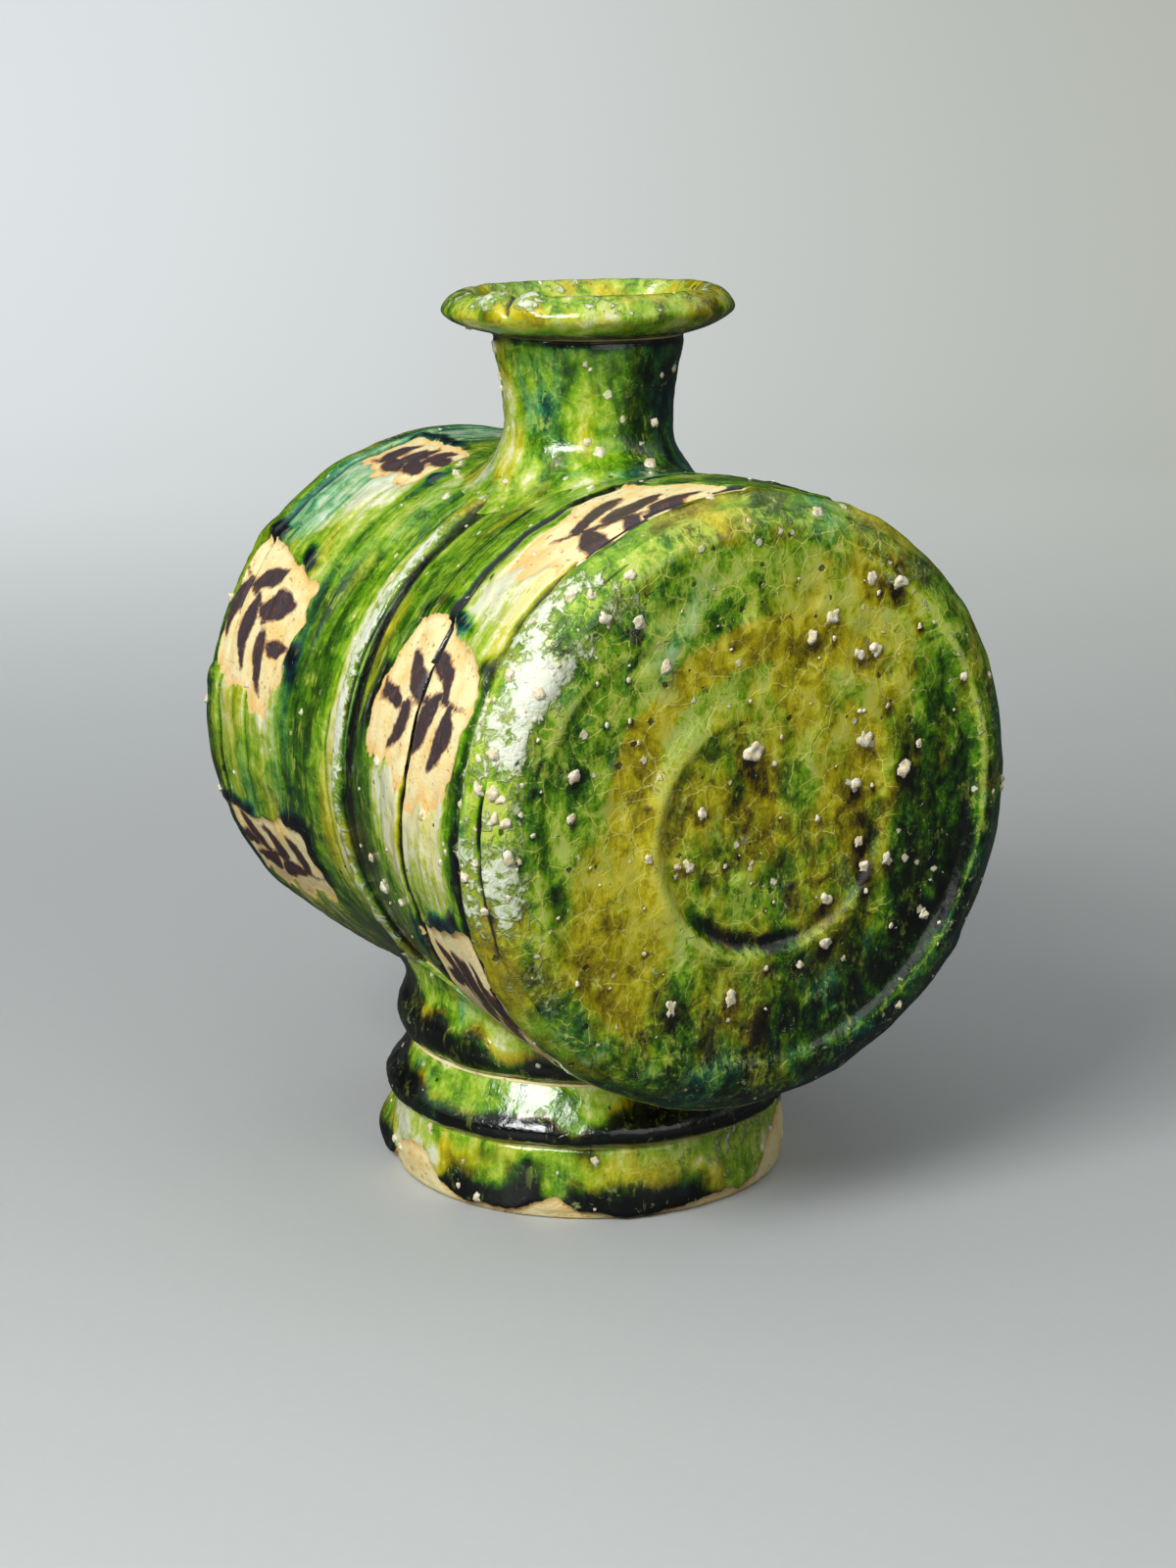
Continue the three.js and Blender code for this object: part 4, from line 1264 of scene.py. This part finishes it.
NECK_TURNS = 220
NECK_STEP = 0.65
NECK_ROOT_RADIUS = 31.5
NECK_RADIUS = 18.8
NECK_NARROWEST = 9.5
NECK_TOP_RADIUS = 21.5
NECK_WALL = 4.8
# The neck's side between its root and its top: radius and height over the root
NECK_SIDE = [(27, 0.5), (22.8, 2.6), (19.8, 6), (NECK_RADIUS, NECK_NARROWEST), (19.3, 19)]
NECK_RUN = (1, 1, 0.45)
# Less than elsewhere, so that the bare line under the lip stays thin
NECK_BARE = 3
ROOT_SINK = 0.45
SADDLE_RADIUS = 22
SADDLE_DEPTH = 3
BORE_LAP = 1
# The photo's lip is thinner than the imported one, so the lip's underside and the neck's top stand higher
LIP_LIFT = 2
# Direction in plan of the side away from the window light, on which the neck is painted in shade and its
# glaze stands deeper
SHADED_SIDE = (0.484, 0.875)
neck_low, neck_high = box_mm("neck")
neck_root = drum_axis + girth_radius
neck_top = neck_high[2] + LIP_LIFT + JOINT_LAP
neck_inner = NECK_TOP_RADIUS - NECK_WALL
bore_radius = NECK_RADIUS - NECK_WALL
bore_end = neck_low[2] - BORE_LAP
neck_side = [(radius, neck_root + up) for radius, up in NECK_SIDE]
neck_outline, neck_shown = chained(
    ([*neck_side, (NECK_TOP_RADIUS, neck_top)], NECK_STEP, True),
    ([(neck_inner, neck_top)], HIDDEN_STEP / 2, False),
    ([(bore_radius, neck_root + NECK_NARROWEST), (bore_radius, bore_end)], HIDDEN_STEP * 0.4, False),
    ([(SADDLE_RADIUS, neck_root - SADDLE_DEPTH)], HIDDEN_STEP * 0.75, False),
    ([(NECK_ROOT_RADIUS, neck_root - ROOT_SINK)], HIDDEN_STEP * 0.75, False),
)
points, normals, degrees = turned(neck_outline, NECK_TURNS, UPRIGHT)
seated = smooth(neck_root + NECK_NARROWEST, neck_root, points[..., 2])
saddle = drum_axis + drum_reach(points[..., 0], points[..., 1]) - neck_root
points[..., 2] += seated * saddle
# Towards the shaded side the neck is painted darker and bluer as shade, over glaze that stands deeper there;
# on the lit side it is painted lighter and more amber as light
towards_shaded_side = in_plan(points)[1] @ SHADED_SIDE
deep = smooth(-0.1, 0.8, towards_shaded_side)
thin = smooth(0.5, 0.95, -towards_shaded_side)
under_lip = swell(points[..., 2] - neck_top + 0.5, 1.7) * (0.8 + 0.5 * cloud(points, 5, 835))
relief = 0.4 * cloud(points, (12, 12, 9), 820, 2) + 0.16 * cloud(points, (8, 8, 3), 830) - 0.5 * under_lip
relief = relief * smooth(1, 0.7, seated)
neck_streaks = cloud(points, (5, 5, 16), 840)
neck_fields = {
    "pool": -0.34 + 0.5 * neck_streaks + 1.2 * under_lip + 0.58 * deep - 0.28 * thin,
    "amber": 0.14 + 0.5 * cloud(points, (7, 7, 16), 850) + 0.22 * thin - 0.3 * deep,
    "teal": 0.06 + 0.34 * cloud(points, (9, 9, 22), 860) + 0.4 * deep,
    "crust": 0.14 * cloud(points, 6, 870),
    "clay": np.where(neck_shown[:, None], GLAZED_OVER, NECK_BARE),
}
neck_grid = turned_piece(
    "neck", neck_outline, neck_shown, points, normals, relief, neck_fields,
    glazed("neck_glaze", run=NECK_RUN, craze=0.3),
)


# LIP RING
# A heavy roll of clay thrown onto the neck and turned outwards. It dried a little out of level.
# Two lumps of slip stand on it beside a fire crack, and the thin glaze over the roll stays pale.

LIP_TURNS = 300
LIP_STEP = 0.6
LIP_TILT = 0.6
LIP_INSET = 0.2
LIP_FULLEST = 4.8
LIP_UNDERCUT = 4.5
LIP_UNDERCUT_HEIGHT = 1.9
LIP_SHOULDER_INSET = 1.4
LIP_SHOULDER_DROP = 1.6
LIP_BASE_STEP = 1.5
MOUTH_CREST_RADIUS = 27.6
MOUTH_RADIUS = 25.2
MOUTH_DROP = 1.2
THROAT_RADIUS = 21.5
THROAT_HEIGHT = 4
LUMP_ANGLES = (-72, -54)
LUMP_HALF_WIDTH = 4.6
LUMP_HEIGHT = 1.2
CRACK_ANGLE = -61.5
CRACK_HALF_WIDTH = 0.8
CRACK_DEPTH = 1.1
lip_low, lip_high = box_mm("lip_ring")
lip_base = lip_low[2] + LIP_LIFT - JOINT_LAP
mouth_height = lip_high[2]
lip_radius = lip_high[0]
lip_outline, lip_shown = chained(
    ([(lip_radius - LIP_UNDERCUT, lip_base + LIP_UNDERCUT_HEIGHT), (lip_radius, lip_base + LIP_FULLEST),
      (lip_radius - LIP_SHOULDER_INSET, mouth_height - LIP_SHOULDER_DROP), (MOUTH_CREST_RADIUS, mouth_height),
      (MOUTH_RADIUS, mouth_height - MOUTH_DROP), (THROAT_RADIUS, lip_base + THROAT_HEIGHT),
      (neck_inner, lip_base)], LIP_STEP, True),
    ([(NECK_TOP_RADIUS - LIP_INSET, lip_base)], LIP_BASE_STEP, False),
)
points, normals, degrees = turned(lip_outline, LIP_TURNS, UPRIGHT)
above_base = points[..., 2] - lip_base
lip_share = smooth(0, 4, above_base)
lip_reach, lip_spoke = in_plan(points)
towards_shaded_side = lip_spoke @ SHADED_SIDE
outside_mouth = smooth(22, 25, lip_reach)
on_top = smooth(5, mouth_height - 1.5 - lip_base, above_base) * outside_mouth
arc_mm = np.pi / 180 * lip_radius
lumps = [
    swell(turn_offset(degrees, angle) * arc_mm + 0.8 * cloud(points, 4, 904), LUMP_HALF_WIDTH) * on_top
    for angle in LUMP_ANGLES
]
lump = sum(lumps)
crack_line = turn_offset(degrees, CRACK_ANGLE) * arc_mm + 0.7 * cloud(points, 4, 906)
crack = swell(crack_line, CRACK_HALF_WIDTH) * smooth(4, 7, above_base) * outside_mouth
relief = 0.26 * cloud(points, 15, 910, 2) + 0.16 * cloud(points, 4, 915)
relief = (relief + LUMP_HEIGHT * lump - CRACK_DEPTH * crack) * lip_share
brown_end = smooth(0.5, 0.95, towards_shaded_side)
underneath = smooth(3.4, 0, above_base)
lip_curds = cloud(points, (5, 5, 6), 920)
lip_fields = {
    "pool": -0.52 + 0.42 * lip_curds + 0.9 * underneath + 0.35 * brown_end + 1.5 * crack - 0.3 * lump,
    "amber": 0.26 + 0.45 * cloud(points, 7, 930) + 0.25 * brown_end,
    "milk": 0.1,
    "teal": -0.05 + 0.3 * cloud(points, 12, 940),
    "crust": 0.6 * lumps[1] + 0.2 * lumps[0] + (0.22 + 0.3 * cloud(points, 5, 950)) * on_top,
}
points[..., 2] += LIP_TILT * lip_share * towards_shaded_side
lip_grid = turned_piece(
    "lip_ring", lip_outline, lip_shown, points, normals, relief, lip_fields,
    glazed("lip_glaze", craze=0.25, speck_share=0.2),
)


# KILN GRIT
# Bits of cream kiln grit and unmelted glaze that fell on the soft glaze and stuck, half sunk.
# Each is a small rough lump, some drawn out a little where it slid down.

GRIT_SINK = 0.15
GRIT_SPREAD = 2.3
LARGE_GRIT = 1.7
WALL_GRIT = 85
RIM_CRUMBS = 55
NECK_GRIT = 24
LIP_GRIT = 12
FOOT_GRIT = 30
FOOT_GRIT_LOWEST = 3


def grit_crust():
    """Dry cream crust, darker in its crevices."""
    material, tree, shader = start_material("kiln_grit_crust")
    place = place_mm(tree)
    blotch = grain(tree, place, 1.4, 4, 0.65).outputs["Fac"]
    sand = grain(tree, place, 0.35, 3).outputs["Fac"]
    colour = paint(tree, ease(tree, blotch, 0.4, 0.6), tone(226, 210, 164), tone(247, 240, 218))
    colour = paint(tree, ease(tree, sand, 0.6, 0.78), colour, tone(126, 108, 68))
    feed(tree, shader.inputs["Base Color"], colour)
    feed(tree, shader.inputs["Roughness"], between(tree, blotch, 0.75, 0.4))
    height = weigh(tree, (blotch, 0.4), (sand, 0.2))
    bump = add(tree, "ShaderNodeBump", {"Height": height, "Distance": MM, "Strength": 0.8})
    feed(tree, shader.inputs["Normal"], bump.outputs["Normal"])
    return material


def rough_ball(subdivisions):
    """Points and triangles of a ball of radius 1."""
    shell = bpy.data.meshes.new("grit_shell")
    work = bmesh.new()
    bmesh.ops.create_icosphere(work, subdivisions=subdivisions, radius=1)
    work.to_mesh(shell)
    work.free()
    points = np.array([vertex.co for vertex in shell.vertices])
    triangles = np.array([face.vertices for face in shell.polygons])
    bpy.data.meshes.remove(shell)
    return points, triangles


def grit_lump(ball, place, normal, size, draw):
    """A rough lump of a size across, drawn out downhill, standing on a place and partly sunk into it."""
    slide = np.array([0, 0, -1]) + 0.9 * (draw.random(3) - 0.5)
    down = slide - normal * (slide @ normal)
    down = down / np.linalg.norm(down)
    beside = np.cross(normal, down)
    long, wide, tall = 0.85 + 0.4 * draw.random(), 0.75 + 0.25 * draw.random(), 0.6 + 0.2 * draw.random()
    coarse = noise(*(ball * 1.4 + 40 * draw.random(3)).T, 7)
    fine = noise(*(ball * 3.2 + 40 * draw.random(3)).T, 8)
    local = ball * (1 + 0.42 * coarse + 0.26 * fine)[:, None] * (0.5 * size * np.array([long, wide, tall]))
    return place - normal * size * GRIT_SINK + local @ np.stack([down, beside, normal])


def rim_bed(side):
    """Places on both sides of a rim's joint, with how likely a crumb is to lie at each."""
    grid, grid_normals = (np.vstack(pair) for pair in zip(half_grids[side], disc_grids[side]))
    off_joint = np.hypot(grid[:, 1], grid[:, 2] - drum_axis) - half_radius[side] + RIM_WIDTH
    near = swell(off_joint, 8) * smooth(8, 4, half_length[side] - np.abs(grid[:, 0]))
    chance = near * (0.12 + crust_front(grid, side))
    return grid, grid_normals, chance / chance.sum()


foot_chance = foot_grid[0][:, 2] > FOOT_GRIT_LOWEST
draw = np.random.default_rng(2024)
spots = []
for side, (grid, grid_normals) in disc_grids.items():
    for across, up, size in disc_spots(side):
        nearest = np.hypot(grid[:, 1] - across, grid[:, 2] - drum_axis - up).argmin()
        spots.append((grid[nearest], grid_normals[nearest], size))
# Each bed of grit: its places and normals, the chance of each place, how many lumps and the least size
beds = [
    (*half_grids[1], None, WALL_GRIT, 0.8), (*half_grids[-1], None, WALL_GRIT, 0.8),
    (*rim_bed(1), RIM_CRUMBS, 0.8), (*rim_bed(-1), RIM_CRUMBS, 0.8), (*neck_grid, None, NECK_GRIT, 1.3),
    (*lip_grid, None, LIP_GRIT, 0.8), (*foot_grid, foot_chance / foot_chance.sum(), FOOT_GRIT, 0.9),
    (*pedestal_grid, None, FOOT_GRIT // 2, 1), (*collar_grid, None, FOOT_GRIT // 2, 1),
]
for grid, grid_normals, chance, count, least in beds:
    for pick in draw.choice(len(grid), count, replace=False, p=chance):
        spots.append((grid[pick], grid_normals[pick], least + GRIT_SPREAD * draw.random() ** 2))
balls = {True: rough_ball(3), False: rough_ball(2)}
grit_points, grit_faces = np.zeros((0, 3)), []
for place, normal, size in spots:
    ball, ball_faces = balls[size > LARGE_GRIT]
    grit_faces.extend((ball_faces + len(grit_points)).tolist())
    grit_points = np.vstack([grit_points, grit_lump(ball, place, normal, size, draw)])
grit_mesh = bpy.data.meshes.new("kiln_grit")
grit_mesh.from_pydata(grit_points * MM, [], grit_faces)
kiln_grit = finish_mesh(grit_mesh, grit_crust())
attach(kiln_grit, "root")


# STUDIO
# A pale grey paper sweep, a soft window light left of the camera, a weak fill right of it and a dim room.
# The camera stands a little above the lip and looks down on the right end of the drum.

CAMERA_AZIMUTH = 60.95
CAMERA_DISTANCE = 633.95
CAMERA_HEIGHT = 246.3
CAMERA_PITCH = 14.03
CAMERA_LENS = 65.66
# Each light: azimuth, elevation, distance, width and height in metres, and watts
LIGHTS = {
    "window_light": (26, 34, 0.95, 0.46, 0.4, 8.5),
    "right_fill": (94, 18, 1.2, 0.9, 0.7, 1.6),
}
ROOM_LOW = 0.055
ROOM_HIGH = 0.6
ROOM_SEEN = 0.42
ROOM_TONE = (0.94, 0.98, 1.0, 1)
SWEEP_FRONT = -1.6
SWEEP_BACK = 1.2
SWEEP_BEND = 0.7
SWEEP_HEIGHT = 2.2
SWEEP_HALF_WIDTH = 3.5
PAPER_TONE = tone(189, 192, 191)
PAPER_BOUNCE_TONE = tone(62, 63, 62)
# Painted light on the seen backdrop: its glow runs from bright on the left to dim on the right, as the window
# light falls
BACKDROP_LEFT_GLOW = tone(193, 197, 200)
BACKDROP_RIGHT_GLOW = tone(139, 141, 130)


def heading(azimuth, elevation):
    """Unit direction out from the object; azimuth 0 is towards -Y and 90 towards +X."""
    turn, climb = math.radians(azimuth), math.radians(elevation)
    return Vector((math.sin(turn) * math.cos(climb), -math.cos(turn) * math.cos(climb), math.sin(climb)))


def facing(azimuth, elevation):
    """Rotation of a camera or a light that looks back along a direction."""
    return (-heading(azimuth, elevation)).to_track_quat("-Z", "Y").to_euler()


camera_data = bpy.data.cameras.new("photo_camera")
camera_data.lens = CAMERA_LENS
camera = place_object("photo_camera", camera_data)
camera.location = heading(CAMERA_AZIMUTH, 0) * CAMERA_DISTANCE * MM + Vector((0, 0, CAMERA_HEIGHT * MM))
camera.rotation_euler = facing(CAMERA_AZIMUTH, CAMERA_PITCH)
bpy.context.scene.camera = camera

for name, (azimuth, elevation, distance, width, height, watts) in LIGHTS.items():
    light_data = bpy.data.lights.new(name, "AREA")
    light_data.shape = "RECTANGLE"
    light_data.size, light_data.size_y = width, height
    light_data.energy = watts
    light = place_object(name, light_data)
    light.location = Vector((0, 0, drum_axis * MM)) + heading(azimuth, elevation) * distance
    light.rotation_euler = facing(azimuth, elevation)
    light.visible_camera = False

room = bpy.data.worlds.new("grey_room")
room.use_nodes = True
tree = room.node_tree
direction = add(tree, "ShaderNodeTexCoord").outputs["Generated"]
climb = add(tree, "ShaderNodeSeparateXYZ", {"Vector": direction}).outputs["Z"]
room_level = between(tree, ease(tree, climb, 0.1, 0.9), ROOM_LOW, ROOM_HIGH)
seen = add(tree, "ShaderNodeLightPath").outputs["Is Camera Ray"]
seen_level = calculate(tree, "MULTIPLY", seen, ROOM_SEEN)
tree.nodes["Background"].inputs["Color"].default_value = ROOM_TONE
shown_level = calculate(tree, "MAXIMUM", room_level, seen_level)
feed(tree, tree.nodes["Background"].inputs["Strength"], shown_level)
bpy.context.scene.world = room

away, across = -heading(CAMERA_AZIMUTH, 0), heading(CAMERA_AZIMUTH + 90, 0)
sweep_turn = np.linspace(0, math.pi / 2, 17)
sweep_bend = SWEEP_BEND * np.stack([np.sin(sweep_turn), 1 - np.cos(sweep_turn)], 1) + (SWEEP_BACK, 0)
sweep_profile = [(SWEEP_FRONT, 0), *sweep_bend, (SWEEP_BACK + SWEEP_BEND, SWEEP_HEIGHT)]
sweep_points = [
    (back, side * SWEEP_HALF_WIDTH, up)
    for back, up in sweep_profile for side in (-1, 1)
]
sweep_faces = [(2 * i, 2 * i + 1, 2 * i + 3, 2 * i + 2) for i in range(len(sweep_profile) - 1)]
sweep_mesh = bpy.data.meshes.new("paper_sweep")
sweep_mesh.from_pydata(sweep_points, [], sweep_faces)


def grey_paper():
    """Pale grey paper; where the camera sees it, it glows with painted light, bright to the left and dim to
    the right, more towards the back. It throws little light back on the object.
    """
    material, tree, shader = start_material("grey_paper")
    place = add(tree, "ShaderNodeTexCoord").outputs["Object"]
    part = add(tree, "ShaderNodeSeparateXYZ", {"Vector": place}).outputs
    seen = add(tree, "ShaderNodeLightPath").outputs["Is Camera Ray"]
    fibre = grain(tree, place, 0.003, 4).outputs["Fac"]
    pale = paint(tree, calculate(tree, "MULTIPLY", fibre, 0.06), PAPER_TONE, tone(255, 255, 255))
    feed(tree, shader.inputs["Base Color"], paint(tree, seen, PAPER_BOUNCE_TONE, pale))
    shader.inputs["Roughness"].default_value = 0.5
    painted_backdrop_light = paint(tree, ease(tree, part["Y"], 0.6, -0.6), BACKDROP_LEFT_GLOW, BACKDROP_RIGHT_GLOW)
    feed(tree, shader.inputs["Emission Color"], painted_backdrop_light)
    behind = ease(tree, part["X"], -0.05, SWEEP_BACK)
    feed(tree, shader.inputs["Emission Strength"], calculate(tree, "MULTIPLY", seen, behind))
    return material


sweep = finish_mesh(sweep_mesh, grey_paper())
sweep.rotation_euler.z = math.atan2(away.y, away.x)

bpy.context.scene.view_settings.view_transform = "Standard"
